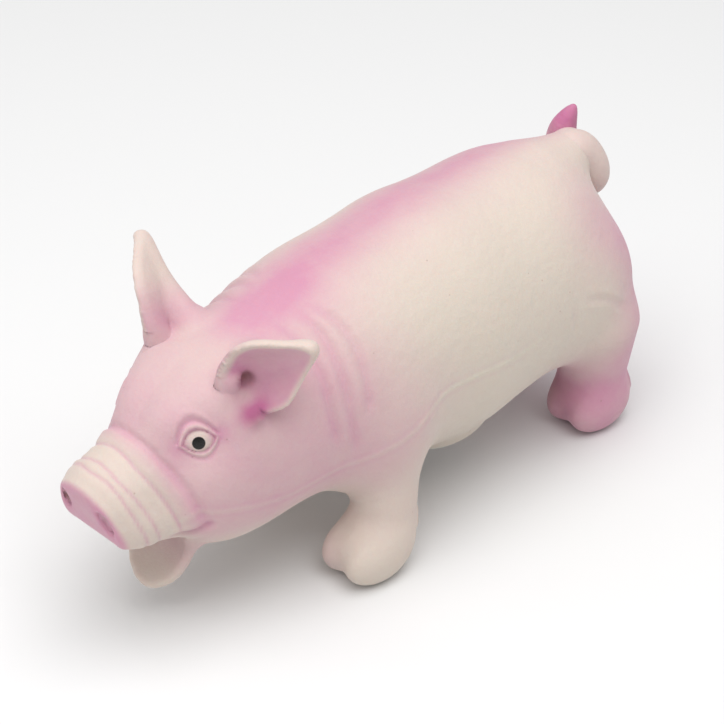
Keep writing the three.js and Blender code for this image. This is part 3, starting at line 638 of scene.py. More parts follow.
def tail_line(count):
    """Points and radii along the tail's smooth middle line"""
    line = smooth_line(TAIL_PATH, count)
    line[:, :3] += TAIL_ROOT
    return line


def under_tail(p, form):
    """The curled tail, as a chain of cones"""
    line = tail_line(TAIL_STEPS)
    depth = np.full(len(p), 1e3, p.dtype)
    for a, b in zip(line[:-1], line[1:]):
        depth = merge(depth, under_cone(p, a[:3], b[:3], a[3], b[3]), 1.0)
    return depth


# Moulding: balls are voxel remeshed, then settled on the form


def add_balls(bm, balls):
    for centre, half in balls:
        where = Matrix.Translation(Vector(centre)) @ Matrix.Diagonal((*half, 1.0))
        bmesh.ops.create_icosphere(bm, subdivisions=3, radius=1.0, matrix=where)


def chain(start, end, start_radius, end_radius, steps):
    """Balls along a tapering limb"""
    for i in range(steps + 1):
        t = i / steps
        radius = start_radius + (end_radius - start_radius) * t
        yield [a + (b - a) * t for a, b in zip(start, end)], (radius, radius, radius)


def leaf_balls(root, way, across, face, outline, lift, side):
    """Small balls over a cupped leaf and along its rim"""
    line = smooth_outline(outline)
    lengths = np.arange(line[:, 0].min(), line[:, 0].max(), LEAF_STEP)
    along, wide = np.meshgrid(lengths, np.arange(-LEAF_HALF_WIDTH, LEAF_HALF_WIDTH + 1, LEAF_STEP))
    spots = np.stack((along.ravel(), wide.ravel()), axis=1)
    spots = spots[past_outline(*spots.T, line) < -LEAF_MARGIN]
    heading = np.roll(line, -1, axis=0) - np.roll(line, 1, axis=0)
    inward = np.stack((-heading[:, 1], heading[:, 0]), axis=1) / np.linalg.norm(heading, axis=1)[:, None]
    rims = [line + shift * inward for shift in (LEAF_RIM_INSET, -LEAF_RIM_INSET)]
    rim = min(rims, key=lambda spots: past_outline(*spots.T, line).mean())
    spots = np.vstack((spots, rim))
    past = past_outline(*spots.T, line)
    for (u, v), w in zip(spots, lift(past, *spots.T)):
        place = root + u * way + v * across + w * face
        yield mirrored(place, side), LEAF_BALL_HALF


def skin_balls(form):
    """Balls that fill the whole skin but the tail"""
    ear_height = lambda past, along, across: ear_lift(past, along, across, form)
    jaw_height = lambda past, along, across: jaw_lift(past, along, form)
    one_side = [JOWL, SHOULDER, THIGH, LIP]
    for hip, ankle, hip_radius, ankle_radius, hoof, *_ in LEGS:
        one_side += chain(hip, ankle, hip_radius, ankle_radius, 4)
        one_side += [((hoof[0], hoof[1] + spread, hoof[2]), TOE_HALF) for spread in TOE_SPREADS]
    one_side += chain(*EAR_RIDGE, 8)
    balls = list(TRUNK[:5])
    for side in (1, -1):
        balls += [(mirrored(place, side), half) for place, half in one_side]
        balls += leaf_balls(EAR_ROOT, EAR_WAY, EAR_ACROSS, EAR_FACE, EAR_OUTLINE, ear_height, side)
    balls += chain(SNOUT_ROOT, SNOUT_END, *SNOUT_RADII, 4)
    balls += chain(*TAIL_SWELL, 3)
    balls += leaf_balls(JAW_ROOT, JAW_WAY, ASIDE, JAW_FACE, JAW_OUTLINE, jaw_height, 1)
    return balls


def places_of(mesh):
    co = np.empty(len(mesh.vertices) * 3, np.float32)
    mesh.vertices.foreach_get("co", co)
    return co.reshape(-1, 3)


def set_places(mesh, co):
    mesh.vertices.foreach_set("co", np.ascontiguousarray(co, np.float32).ravel())
    mesh.update()


def slope_at(p, depth_at, form, step=0.12):
    """Depth and its slope, from four points round each place"""
    total = np.zeros_like(p)
    mean = np.zeros(len(p), p.dtype)
    for way in ((1, -1, -1), (-1, -1, 1), (-1, 1, -1), (1, 1, 1)):
        way = np.array(way, p.dtype)
        depth = depth_at(p + way * step, form)
        total += depth[:, None] * way
        mean += depth / 4
    return mean, total / (4 * step)


def onto_form(depth, slope):
    """Share of the slope that takes a place onto the form"""
    return depth / np.maximum((slope * slope).sum(axis=1), 0.3)


def settle(mesh, depth_at, form, steps):
    """Moves a mesh's points onto the form and returns the form's outward normals"""
    co = places_of(mesh)
    for _ in range(steps):
        depth, slope = slope_at(co, depth_at, form)
        move = np.clip(onto_form(depth, slope), -MOST_SETTLED, MOST_SETTLED)
        co = co - slope * move[:, None]
    set_places(mesh, co)
    slope = slope_at(co, depth_at, form)[1]
    return slope / np.maximum(np.linalg.norm(slope, axis=1), 1e-6)[:, None]


def relax(mesh, rounds, wanted=None):
    """Smooths a mesh, or only its wanted points"""
    bm = bmesh.new()
    bm.from_mesh(mesh)
    verts = [v for v in bm.verts if wanted is None or wanted[v.index]]
    for _ in range(rounds):
        bmesh.ops.smooth_vert(bm, verts=verts, factor=0.5, use_axis_x=True, use_axis_y=True, use_axis_z=True)
    bm.to_mesh(mesh)
    bm.free()


def refine(mesh, wanted):
    """Halves every edge whose two ends are wanted"""
    bm = bmesh.new()
    bm.from_mesh(mesh)
    bm.verts.ensure_lookup_table()
    edges = [e for e in bm.edges if wanted[e.verts[0].index] and wanted[e.verts[1].index]]
    bmesh.ops.subdivide_edges(bm, edges=edges, cuts=1, use_grid_fill=True)
    bm.to_mesh(mesh)
    bm.free()


def remeshed(name, balls, step):
    """One closed mesh round a heap of balls"""
    rough = bpy.data.meshes.new(name + "_rough")
    bm = bmesh.new()
    add_balls(bm, balls)
    bm.to_mesh(rough)
    bm.free()
    heap = bpy.data.objects.new(name + "_rough", rough)
    bpy.context.scene.collection.objects.link(heap)
    wrap = heap.modifiers.new("Wrap", "REMESH")
    wrap.mode = "VOXEL"
    wrap.voxel_size = step
    wrapped = heap.evaluated_get(bpy.context.evaluated_depsgraph_get())
    mesh = bpy.data.meshes.new_from_object(wrapped)
    mesh.name = name
    bpy.data.objects.remove(heap)
    bpy.data.meshes.remove(rough)
    return mesh


# Relief and paint


def on_skin(line, form):
    """The same line, moved onto the skin"""
    for _ in range(3):
        depth, slope = slope_at(line, under_skin, form)
        line = line - slope * onto_form(depth, slope)[:, None]
    return line


def near_line(p, line, reach):
    """Distance of points to a traced line, and 1 along it fading to 0 at its ends"""
    line = line.astype(p.dtype)
    away = np.full(len(p), 1e3, p.dtype)
    along = np.zeros(len(p), p.dtype)
    inside = within(p, line.min(0) - reach, line.max(0) + reach)
    q = p[inside]
    best, where = away[inside], along[inside]
    for i, (a, b) in enumerate(zip(line[:-1], line[1:])):
        way = b - a
        t = np.clip((q - a) @ way / (way @ way), 0, 1)
        d = np.linalg.norm(q - a - t[:, None] * way, axis=1)
        closer = d < best
        best = np.where(closer, d, best)
        where = np.where(closer, (i + t) / (len(line) - 1), where)
    away[inside], along[inside] = best, where
    return away, rise(along, 0.0, LINE_FADE) * rise(1 - along, 0.0, LINE_FADE)


def bump(value, middle, width):
    """1 at the middle, falling to 0 on both sides of it"""
    return np.exp(-((value - middle) / width) ** 2)


def blob(p, centre, radius):
    """1 at a centre, falling to 0 all round it"""
    q = p - np.array(centre, p.dtype)
    return np.exp(-(q * q).sum(axis=1) / (radius * radius))


def spotted(p, spots):
    return sum(strength * blob(p, centre, radius) for strength, centre, radius in spots)


def eye_ways(form):
    """Up along the skin at the eye, and straight out of it"""
    face = unit(slope_at(EYE[None, :], under_skin, form)[1][0])
    up = np.cross(EYE_WAY, face)
    return up * np.sign(up[2]), face


def snout_relief(p, deep, lift, blush):
    """Adds the snout's ring creases, the fold where it meets the face, and the rim of its disc"""
    along = p @ SNOUT_WAY.astype(p.dtype)
    height = (p - SNOUT_END.astype(p.dtype)) @ SNOUT_UP.astype(p.dtype)
    across = np.sqrt(p[:, 1] ** 2 + height ** 2)
    on_snout = rise(height, -14, -8) * (across < 26) * (p[:, 0] > 88)
    for place, depth, width in RING_CREASES:
        wave = place + 0.35 * np.sin(p[:, 1] * 0.35 + place)
        lift += deep * on_snout * depth * (0.35 * bump(along, wave + 1.9, 1.2) - bump(along, wave, width))
        blush += 0.40 * on_snout * bump(along, wave - 0.1, 0.55)
    fold = FACE_FOLD - 0.6 * rise(p[:, 1], 12, 22)
    lip = 0.8 * rise(along, fold - 0.5, fold + 1.1) * (1 - rise(along, fold + 2, fold + 9))
    lift += deep * on_snout * lip
    lift -= deep * on_snout * 0.7 * bump(along, fold - 1.2, 1.2)
    blush += 0.16 * on_snout * bump(along, fold - 0.7, 1.3)
    rim = rise(along, 93.5, 96.5) * bump(across, 13.4, 2.0) * (p[:, 0] > 105)
    lift += 0.5 * rim


def crease_relief(p, form, lift, blush, painted_shade):
    """Adds the creases of the neck and legs, the mould's parting line and the line of the mouth"""
    deep = form.crease_depth
    for line in NECK_CREASES:
        away, fade = near_line(p, smooth_line(line), 9)
        groove = 0.25 * bump(away, 3.4, 1.8) - 0.6 * bump(away, 0, 1.5)
        lift += deep * fade * rise(p[:, 1], 9, 20) * groove
        blush += 0.16 * fade * bump(away, 0, 1.8)
    for line in LEG_FOLDS:
        away, fade = near_line(p, smooth_line(line), 9)
        lift += deep * fade * (0.2 * bump(away, 2.6, 1.4) - 0.4 * bump(away, 0, 1.3))
        blush += 0.06 * fade * bump(away, 0, 1.8)
    away, fade = near_line(p, on_skin(smooth_line(PARTING_LINE, 70), form), 5)
    lift += form.parting_ridge * fade * bump(away, 0, 0.75)
    blush -= 0.10 * fade * bump(away, 0, 0.9)
    blush += 0.10 * fade * bump(away, 1.9, 0.8)
    away, fade = near_line(p, smooth_line(MOUTH_LINE), 8)
    lift -= deep * fade * (0.8 * bump(away, 0, 1.3) - 0.3 * bump(away, 3.0, 1.3))
    blush += 0.35 * fade * bump(away, 0, 1.8)
    # Painted shade along the line of the mouth
    painted_shade += 0.18 * fade * bump(away, 0, 1.0)


def eye_relief(p, form, lift, blush, painted_shade):
    """Adds the brows, the sockets, and the eyes with their upper and lower lids"""
    lift += spotted(p, BROW_SWELLS)
    up = eye_ways(form)[0]
    lift -= 3.2 * blob(p, EYE - 1.0 * up, 9.5)
    q = p - EYE.astype(p.dtype)
    a = q @ EYE_WAY.astype(p.dtype) / form.eye_length
    b = q @ up.astype(p.dtype)
    here = (np.linalg.norm(q, axis=1) < 16) * (1 - rise(np.abs(a), 1.0, 1.5))
    lid = np.abs(b + 0.6 * a) - form.eye_height * np.maximum(1 - a * a, -0.5)
    over = rise(b, -0.3, 0.6)
    under = 1 - over
    ball = np.maximum(1 - a * a, 0) * np.maximum(1 - (b / form.eye_height) ** 2, 0)
    lift += here * (1.5 * ball * (lid < 0) - 0.3 * bump(lid, -0.3, 0.5))
    lid_edge = rise(lid, -0.1, 0.6)
    lift += here * over * (0.9 * lid_edge * (1 - rise(lid, 1.0, 2.8)) - 0.4 * bump(lid, 2.9, 1.1))
    lift += here * over * 0.4 * bump(lid, 4.8, 1.3)
    lift += here * under * (0.7 * lid_edge * (1 - rise(lid, 0.8, 2.2)) - 0.25 * bump(lid, 2.6, 0.9))
    # Pink in the lid folds and at the eye's corners is partly airbrush and partly painted shade; the thin
    # dark line at the lids' edge is painted shade
    lid_folds = 0.16 * over * bump(lid, 2.9, 1.1) + 0.2 * under * bump(lid, 2.6, 0.8)
    blush += here * (0.22 * bump(lid, 0.1, 0.5) + lid_folds)
    for corner in (-1.5, 1.4):
        blush += 0.30 * blob(p, EYE + corner * form.eye_length * EYE_WAY, 3.0)
    white = here * (1 - rise(lid, -0.5, 0.1))
    blush -= 0.45 * white * (1 - rise(np.abs(a), 0.3, 1.0)) + 0.2 * here * bump(lid, 1.1, 0.6)
    painted_shade += here * 0.12 * bump(lid, 0.0, 0.3)


def relief(points, form):
    """Height to add along the normal, and the blush and hollow shade that go with it"""
    p = near_side(points)
    lift, blush, painted_shade = np.zeros((3, len(p)), p.dtype)
    snout_relief(p, form.crease_depth, lift, blush)
    crease_relief(p, form, lift, blush, painted_shade)
    eye_relief(p, form, lift, blush, painted_shade)
    return lift, blush, painted_shade


def trunk_paint(points, p):
    """Blush and magenta along the spine, over the rear and from the shoulders to the face"""
    x, _, z = p.T
    drift = np.clip(SPINE_DRIFT[0] + SPINE_DRIFT[1] * x, SPINE_DRIFT_END, 0)
    turn = np.arctan2(points[:, 1], z - SPINE_TURNS_Z)
    back = rise(z, 60, 82) * (1 - rise(x, 52, 74))
    spine = back * bump(turn, drift, 0.26)
    wide = back * bump(turn, drift, 0.55) * (1 - 0.4 * rise(-x, 30, 70))
    rear = rise(z, 8, 40) * (1 - rise(z, 74, 88))
    fore = rise(x, 6, 52) * rise(z, 26, 46) * (1 - 0.35 * rise(z, 78, 92))
    blush = 0.05 + 0.46 * spine + 0.26 * wide + 0.60 * rear * rise(-x, 68, 94) + 0.58 * fore
    magenta = 0.24 * spine * rise(-x, -70, -20) + 0.30 * rear * rise(-x, 82, 97)
    return blush + spotted(p, BLUSH_SPOTS), magenta + spotted(p, MAGENTA_SPOTS)


def paint_ears(p, form, blush, magenta):
    """Paints the ears pink inside and round their roots, with pale rims"""
    near = within(p, *EAR_BOX)
    along, across, out = leaf_places(p[near], EAR_ROOT, EAR_WAY, EAR_ACROSS, EAR_FACE)
    past = past_outline(along, across, smooth_outline(EAR_OUTLINE))
    on_ear = rise(along, 1, 6) * (1 - rise(under_ear(p[near], form), 0.6, 3.0))
    front = rise(out - ear_lift(past, along, across, form), 0.0, 0.9)
    margin = 0.8 + 1.6 * rise(across, 4, 9)
    inner = on_ear * front * (1 - rise(past + margin, -1.6, 0.4))
    base = (1 - front) * (1 - rise(along, 6, 22))
    blush[near] = blush[near] * (1 - on_ear) + on_ear * (0.20 + 0.4 * base) + 0.62 * inner
    blush += spotted(p, EAR_BLUSH_SPOTS)
    magenta[near] += 0.16 * inner * (1 - rise(along, 10, 28)) + 0.12 * on_ear * base


def paint_snout(p, blush, painted_shade):
    """Leaves the snout cream, with a pink disc and painted shade in the nostrils"""
    snout = rise(p @ SNOUT_WAY.astype(p.dtype), 73.5, 81)
    blush *= 1 - 0.85 * snout
    blush += 0.05 * snout
    beyond = past_disc(p)
    at_disc = beyond > -9
    _, aside, above = leaf_places(p, NOSTRIL, SNOUT_WAY, ASIDE, SNOUT_UP)
    pit = np.sqrt(((aside + NOSTRIL_SLANT * above) / 2.6) ** 2 + (above / 4.9) ** 2)
    # Painted shade deep in the nostril pits
    painted_shade += 0.80 * rise(-beyond, 0.6, 3.0) * (1 - rise(pit, 0.7, 1.1)) * at_disc
    blush += at_disc * (0.5 * bump(pit, 1.0, 0.3) + 0.75 * rise(beyond, -2.5, -0.5))


def paint_jaw(p, form, blush, painted_shade):
    """Leaves the lower jaw cream, with some pink at its root and painted shade in its scoop"""
    along, across, out = leaf_places(p, JAW_ROOT, JAW_WAY, ASIDE, JAW_FACE)
    on_jaw = rise(along, 2, 8) * (p[:, 1] < JAW_SIDE) * (p[:, 0] > 76) * (p[:, 2] < 38)
    near = on_jaw > 0
    past = past_outline(along[near], across[near], smooth_outline(JAW_OUTLINE))
    depth = out[near] - jaw_lift(past, along[near], form)
    # Painted shade in the jaw's scoop
    painted_shade[near] += 0.03 * on_jaw[near] * rise(depth, -0.3, 0.9) * (1 - rise(past, -2.6, -1.2))
    blush *= 1 - 0.7 * on_jaw
    blush += 0.30 * on_jaw * (1 - rise(along, 10, 24)) + 0.12 * on_jaw


def paint(points, form):
    """Airbrushed blush and magenta, and the shade in hollows, from 0 to 1"""
    p = near_side(points)
    blush, magenta = trunk_paint(points, p)
    painted_shade = spotted(p, PAINTED_SHADE_SPOTS)
    paint_ears(p, form, blush, magenta)
    paint_snout(p, blush, painted_shade)
    paint_jaw(p, form, blush, painted_shade)
    return blush, magenta, painted_shade


def store(mesh, name, kind, values):
    layer = mesh.attributes.new(name, kind, "POINT")
    field = "vector" if kind == "FLOAT_VECTOR" else "value"
    layer.data.foreach_set(field, np.ascontiguousarray(values, np.float32).ravel())


def store_paint(mesh, blush, magenta, painted_shade):
    store(mesh, "blush", "FLOAT", np.clip(blush, 0, 1))
    store(mesh, "magenta", "FLOAT", np.clip(magenta, 0, 1))
    # Painted shade in creases and hollows
    store(mesh, "hollows", "FLOAT", np.clip(painted_shade, 0, 1))


def vertex_normals(mesh):
    normals = np.empty(len(mesh.vertices) * 3, np.float32)
    mesh.vertex_normals.foreach_get("vector", normals)
    return normals


# Parting the moulded skin


def on_ear_side(p):
    """Whether places lie at an ear and not on the neck behind it"""
    ahead = (near_side(p) - EAR_ROOT) @ EAR_FACE > EAR_BACK
    return ahead & (p[:, 0] > EAR_BACK_X) & (np.abs(p[:, 1]) > EAR_SIDE) & (p[:, 2] > EAR_LOW)


def on_leaves(p):
    """Whether places lie on the ears or the lower jaw"""
    near = near_side(p)
    ears = ((near - EAR_ROOT) @ EAR_WAY > -3) & on_ear_side(p)
    jaw = ((near - JAW_ROOT) @ JAW_WAY > 2) & (near[:, 1] < JAW_SIDE)
    return ears | (jaw & (near[:, 0] > 72) & (near[:, 2] < 40))


def cut_near(bm, near, place, normal):
    """Cuts the faces that are near along a plane"""
    faces = [f for f in bm.faces if near(f.calc_center_median())]
    geom = set(faces)
    for f in faces:
        geom.update(f.edges)
        geom.update(f.verts)
    bmesh.ops.bisect_plane(bm, geom=list(geom), dist=1e-4, plane_co=Vector(place), plane_no=Vector(normal))


def wedge_ways():
    """Ways from a flank's middle to its wedges' outer edges, each as long as one over the distance"""
    angles = (np.arange(FLANK_WEDGES) + 0.5) * 2 * math.pi / FLANK_WEDGES
    return np.stack((np.cos(angles) / FLANK_HALF[0], np.sin(angles) / FLANK_HALF[1]), axis=1)


def wedge_place(way, share):
    """A place on a wedge's middle line, from 0 at the flank's middle to 1 at the outer edge"""
    size = way @ way
    return FLANK[0] + share * way[0] / size, 0, FLANK[1] + share * way[1] / size


def cut_legs(bm, side):
    """Cuts both legs of a side from the trunk"""
    way = mirrored(LEG_CUT_WAY, side)

    def near(c):
        at_leg = c.x < LEG_GAP[0] or LEG_GAP[1] < c.x < COLLAR_X - 1
        at_cut = abs(way[1] * c.y + way[2] * c.z - LEG_CUT) < CUT_REACH
        return c.y * side > 0 and c.z < LEG_TOP and at_leg and at_cut

    cut_near(bm, near, LEG_CUT * way, way)


def cut_ear(bm, side):
    """Cuts an ear from the head"""
    root, way, face = (Vector(mirrored(v, side)) for v in (EAR_ROOT, EAR_WAY, EAR_FACE))

    def near(c):
        ahead = c.x > EAR_BACK_X and face.dot(c - root) > EAR_BACK
        at_cut = abs(way.dot(c - root) - EAR_CUT) < CUT_REACH
        return c.z > EAR_LOW and c.y * side > EAR_SIDE and ahead and at_cut

    cut_near(bm, near, root + EAR_CUT * way, way)


def cut_flank(bm, side):
    """Cuts a flank's outline, and the lines between its wedges"""
    half_x, half_z = FLANK_HALF

    def near(c):
        inside = abs(c.x - FLANK[0]) < 1.4 * half_x and abs(c.z - FLANK[1]) < 1.4 * half_z
        return c.y * side > FLANK_SIDE and inside

    for i, way in enumerate(wedge_ways()):
        cut_near(bm, near, wedge_place(way, 1), (way[0], 0, way[1]))
        if i < FLANK_WEDGES / 2:
            angle = i * 2 * math.pi / FLANK_WEDGES
            across = (-math.sin(angle) / half_x, 0, math.cos(angle) / half_z)
            cut_near(bm, near, (FLANK[0], 0, FLANK[1]), across)


def cut_jaw(bm):
    """Cuts the lower jaw from the head"""
    root, way = Vector(JAW_ROOT), Vector(JAW_WAY)

    def near(c):
        return c.z < JAW_TOP and c.x > JAW_BACK_X and abs(way.dot(c - root) - JAW_CUT) < CUT_REACH

    cut_near(bm, near, root + JAW_CUT * way, way)


def cut_skin(bm):
    """Cuts the skin along every line where two pieces meet"""
    cut_near(bm, lambda c: abs(c.x - COLLAR_X) < CUT_REACH, (COLLAR_X, 0, 0), (1, 0, 0))
    for side in (1, -1):
        cut_legs(bm, side)
        cut_ear(bm, side)
        cut_flank(bm, side)
    cut_jaw(bm)


def piece_names(centres):
    """Name of the piece that each face belongs to"""
    x, y, z = centres.T
    side = np.where(y > 0, "left", "right").astype(object)
    names = np.where(x < COLLAR_X, "trunk_skin", "head_skin_latex").astype(object)
    legs = near_side(centres) @ LEG_CUT_WAY > LEG_CUT
    legs &= (x < COLLAR_X) & (z < LEG_TOP) & ((x < LEG_GAP[0]) | (x > LEG_GAP[1]))
    ends = np.where(x > LEG_GAP[1], "front_", "hind_").astype(object)
    names[legs] = ends[legs] + side[legs] + "_leg_skin"
    ears = ((near_side(centres) - EAR_ROOT) @ EAR_WAY > EAR_CUT) & on_ear_side(centres)
    names[ears] = side[ears] + "_ear_latex"
    jaw = ((centres - JAW_ROOT) @ JAW_WAY > JAW_CUT) & (x > JAW_BACK_X) & (z < JAW_TOP)
    names[jaw] = "jaw_latex"
    reach = np.stack(((x - FLANK[0]), (z - FLANK[1])), axis=1) @ wedge_ways().T
    flank = (reach.max(axis=1) < 1) & (np.abs(y) > FLANK_SIDE)
    wedge = (reach.argmax(axis=1) + 1).astype(str).astype(object)
    names[flank] = side[flank] + "_flank_skin_" + wedge[flank]
    hole = (np.hypot(x - GRUNTER_X, y) < CASE_HOLE_RADIUS) & (z < BELLY_LOW)
    names[hole] = ""
    return names


def parted(bm, kept):
    """A copy of the skin with only the kept faces"""
    piece = bm.copy()
    piece.faces.ensure_lookup_table()
    gone = [f for f, keep in zip(piece.faces, kept) if not keep]
    bmesh.ops.delete(piece, geom=gone, context="FACES")
    return piece


def finish_piece(name, bm, material):
    """An object in metres, in the frame, with the whole skin's normals"""
    bmesh.ops.scale(bm, vec=(MM, MM, MM), verts=bm.verts)
    bmesh.ops.translate(bm, vec=SHIFT, verts=bm.verts)
    mesh = bpy.data.meshes.new(name)
    bm.to_mesh(mesh)
    bm.free()
    mesh.shade_smooth()
    layer = mesh.attributes.get("skin_normal")
    if layer:
        normals = np.empty(len(mesh.vertices) * 3, np.float32)
        layer.data.foreach_get("vector", normals)
        normals = normals.reshape(-1, 3)
        normals /= np.maximum(np.linalg.norm(normals, axis=1), 1e-6)[:, None]
        mesh.attributes.remove(layer)
        mesh.normals_split_custom_set_from_vertices(normals.tolist())
    mesh.materials.append(material)
    piece = bpy.data.objects.new(name, mesh)
    bpy.context.scene.collection.objects.link(piece)
    return piece


def in_frame(place):
    """A drawn place, in the frame's metres"""
    return tuple(Vector(place) * MM + SHIFT)


# Parted pieces of the moulded skin, each kept until its operator takes it
MOULD = {}


def part_skin(bm):
    """Keeps one mesh for each piece, without the hole for the grunter"""
    names = piece_names(np.array([f.calc_center_median() for f in bm.faces]))
    large = ("trunk_skin", "head_skin_latex")
    for name in large:
        MOULD[name] = parted(bm, names == name)
    small = ~np.isin(names, large)
    rest = parted(bm, small)
    for name in sorted(set(names[small]) - {""}):
        MOULD[name] = parted(rest, names[small] == name)
    rest.free()


def skin_piece(name, material):
    if name not in MOULD:
        raise RuntimeError(f"the moulded skin has no piece named {name}")
    return finish_piece(name, MOULD.pop(name), material)


# Materials


def new_group(name, inputs, outputs):
    group = bpy.data.node_groups.new(name, "ShaderNodeTree")
    for label, kind, value in inputs:
        socket = group.interface.new_socket(name=label, in_out="INPUT", socket_type=kind)
        socket.default_value = value
    for label, kind in outputs:
        group.interface.new_socket(name=label, in_out="OUTPUT", socket_type=kind)
    return group, group.nodes.new("NodeGroupInput"), group.nodes.new("NodeGroupOutput")


def math_node(tree, operation, a, b, clamp=False):
    node = tree.nodes.new("ShaderNodeMath")
    node.operation = operation
    node.use_clamp = clamp
    for socket, value in zip(node.inputs, (a, b)):
        if isinstance(value, (int, float)):
            socket.default_value = value
        else:
            tree.links.new(value, socket)
    return node.outputs[0]


def vector_node(tree, operation, a, b=None):
    node = tree.nodes.new("ShaderNodeVectorMath")
    node.operation = operation
    tree.links.new(a, node.inputs[0])
    if b is not None:
        node.inputs[1].default_value = b
    return node.outputs["Value" if operation == "LENGTH" else "Vector"]


def noise(tree, coordinates, scale, detail, roughness=0.55):
    node = tree.nodes.new("ShaderNodeTexNoise")
    node.inputs["Scale"].default_value = scale
    node.inputs["Detail"].default_value = detail
    node.inputs["Roughness"].default_value = roughness
    tree.links.new(coordinates, node.inputs["Vector"])
    return node.outputs["Fac"]


def spread(tree, value, low, high, to_low=0.0, to_high=1.0):
    node = tree.nodes.new("ShaderNodeMapRange")
    node.inputs["From Min"].default_value = low
    node.inputs["From Max"].default_value = high
    node.inputs["To Min"].default_value = to_low
    node.inputs["To Max"].default_value = to_high
    tree.links.new(value, node.inputs["Value"])
    return node.outputs["Result"]


def mixed(tree, factor, a, b):
    node = tree.nodes.new("ShaderNodeMix")
    node.data_type = "RGBA"
    tree.links.new(factor, node.inputs["Factor"])
    for socket, value in ((node.inputs["A"], a), (node.inputs["B"], b)):
        if isinstance(value, tuple):
            socket.default_value = value
        else:
            tree.links.new(value, socket)
    return node.outputs["Result"]


def new_material(name):
    material = bpy.data.materials.new(name)
    material.use_nodes = True
    return material, material.node_tree, material.node_tree.nodes["Principled BSDF"]


def add_bump(tree, shader, height, strength, distance):
    node = tree.nodes.new("ShaderNodeBump")
    node.inputs["Strength"].default_value = strength
    node.inputs["Distance"].default_value = distance
    tree.links.new(height, node.inputs["Height"])
    tree.links.new(node.outputs["Normal"], shader.inputs["Normal"])


def airbrush_group():
    """Cream latex with airbrushed pink and magenta and painted shade in the hollows, mottled, speckled and
    finely grained
    """
    if "Airbrushed latex" in bpy.data.node_groups:
        return bpy.data.node_groups["Airbrushed latex"]
    inputs = (
        ("Cream", "NodeSocketColor", (0.8, 0.7, 0.6, 1.0)),
        ("Pink", "NodeSocketColor", (0.8, 0.4, 0.45, 1.0)),
        ("Magenta", "NodeSocketColor", (0.65, 0.2, 0.35, 1.0)),
        ("Painted hollow shade", "NodeSocketColor", (0.2, 0.07, 0.05, 1.0)),
        ("Roughness", "NodeSocketFloat", 0.6),
    )
    outputs = (("Color", "NodeSocketColor"), ("Roughness", "NodeSocketFloat"), ("Height", "NodeSocketFloat"))
    tree, given, made = new_group("Airbrushed latex", inputs, outputs)
    place = tree.nodes.new("ShaderNodeTexCoord").outputs["Object"]
    masks = {}
    for name in ("blush", "magenta", "hollows"):
        node = tree.nodes.new("ShaderNodeAttribute")
        node.attribute_name = name
        masks[name] = node.outputs["Fac"]
    cloud = spread(tree, noise(tree, place, 90, 4), 0.3, 0.7, 0.88, 1.12)
    spray = spread(tree, noise(tree, place, 900, 2), 0.3, 0.7, -0.035, 0.035)
    blush = math_node(tree, "ADD", math_node(tree, "MULTIPLY", masks["blush"], cloud), spray, clamp=True)
    magenta = math_node(tree, "MULTIPLY", masks["magenta"], cloud, clamp=True)
    warm = spread(tree, noise(tree, place, 28, 3), 0.35, 0.65)
    warm = math_node(tree, "MULTIPLY", warm, 0.10)
    cream = mixed(tree, warm, given.outputs["Cream"], (0.52, 0.45, 0.35, 1.0))
    colour = mixed(tree, blush, cream, given.outputs["Pink"])
    colour = mixed(tree, magenta, colour, given.outputs["Magenta"])
    # Painted shade mixed in where the skin's creases and hollows fall in shade
    colour = mixed(tree, masks["hollows"], colour, given.outputs["Painted hollow shade"])
    cells = tree.nodes.new("ShaderNodeTexVoronoi")
    cells.inputs["Scale"].default_value = 150
    tree.links.new(place, cells.inputs["Vector"])
    speck = spread(tree, cells.outputs["Distance"], 0.035, 0.055, 1.0, 0.0)
    speck = math_node(tree, "MULTIPLY", speck, spread(tree, noise(tree, place, 45, 2), 0.54, 0.6))
    colour = mixed(tree, math_node(tree, "MULTIPLY", speck, 0.45), colour, (0.35, 0.20, 0.16, 1.0))
    tree.links.new(colour, made.inputs["Color"])
    patches = spread(tree, noise(tree, place, 120, 3), 0.3, 0.7, -0.06, 0.06)
    rough = math_node(tree, "ADD", given.outputs["Roughness"], patches)
    tree.links.new(rough, made.inputs["Roughness"])
    grain = math_node(tree, "MULTIPLY", noise(tree, place, 1500, 3), 0.25)
    dents = math_node(tree, "MULTIPLY", spread(tree, noise(tree, place, 220, 3), 0.3, 0.7), 0.75)
    height = math_node(tree, "ADD", grain, dents)
    tree.links.new(height, made.inputs["Height"])
    return tree


def pupil_mask(tree, way, radius):
    """1 in a round pupil on both sides of the head, seen along its own way"""
    place = tree.nodes.new("ShaderNodeTexCoord").outputs["Object"]
    folded = vector_node(tree, "ABSOLUTE", place)
    offset = vector_node(tree, "SUBTRACT", folded, in_frame(PUPIL))
    away = vector_node(tree, "LENGTH", vector_node(tree, "CROSS_PRODUCT", offset, way))
    return spread(tree, away, radius * 0.94, radius * 1.06, 1.0, 0.0)


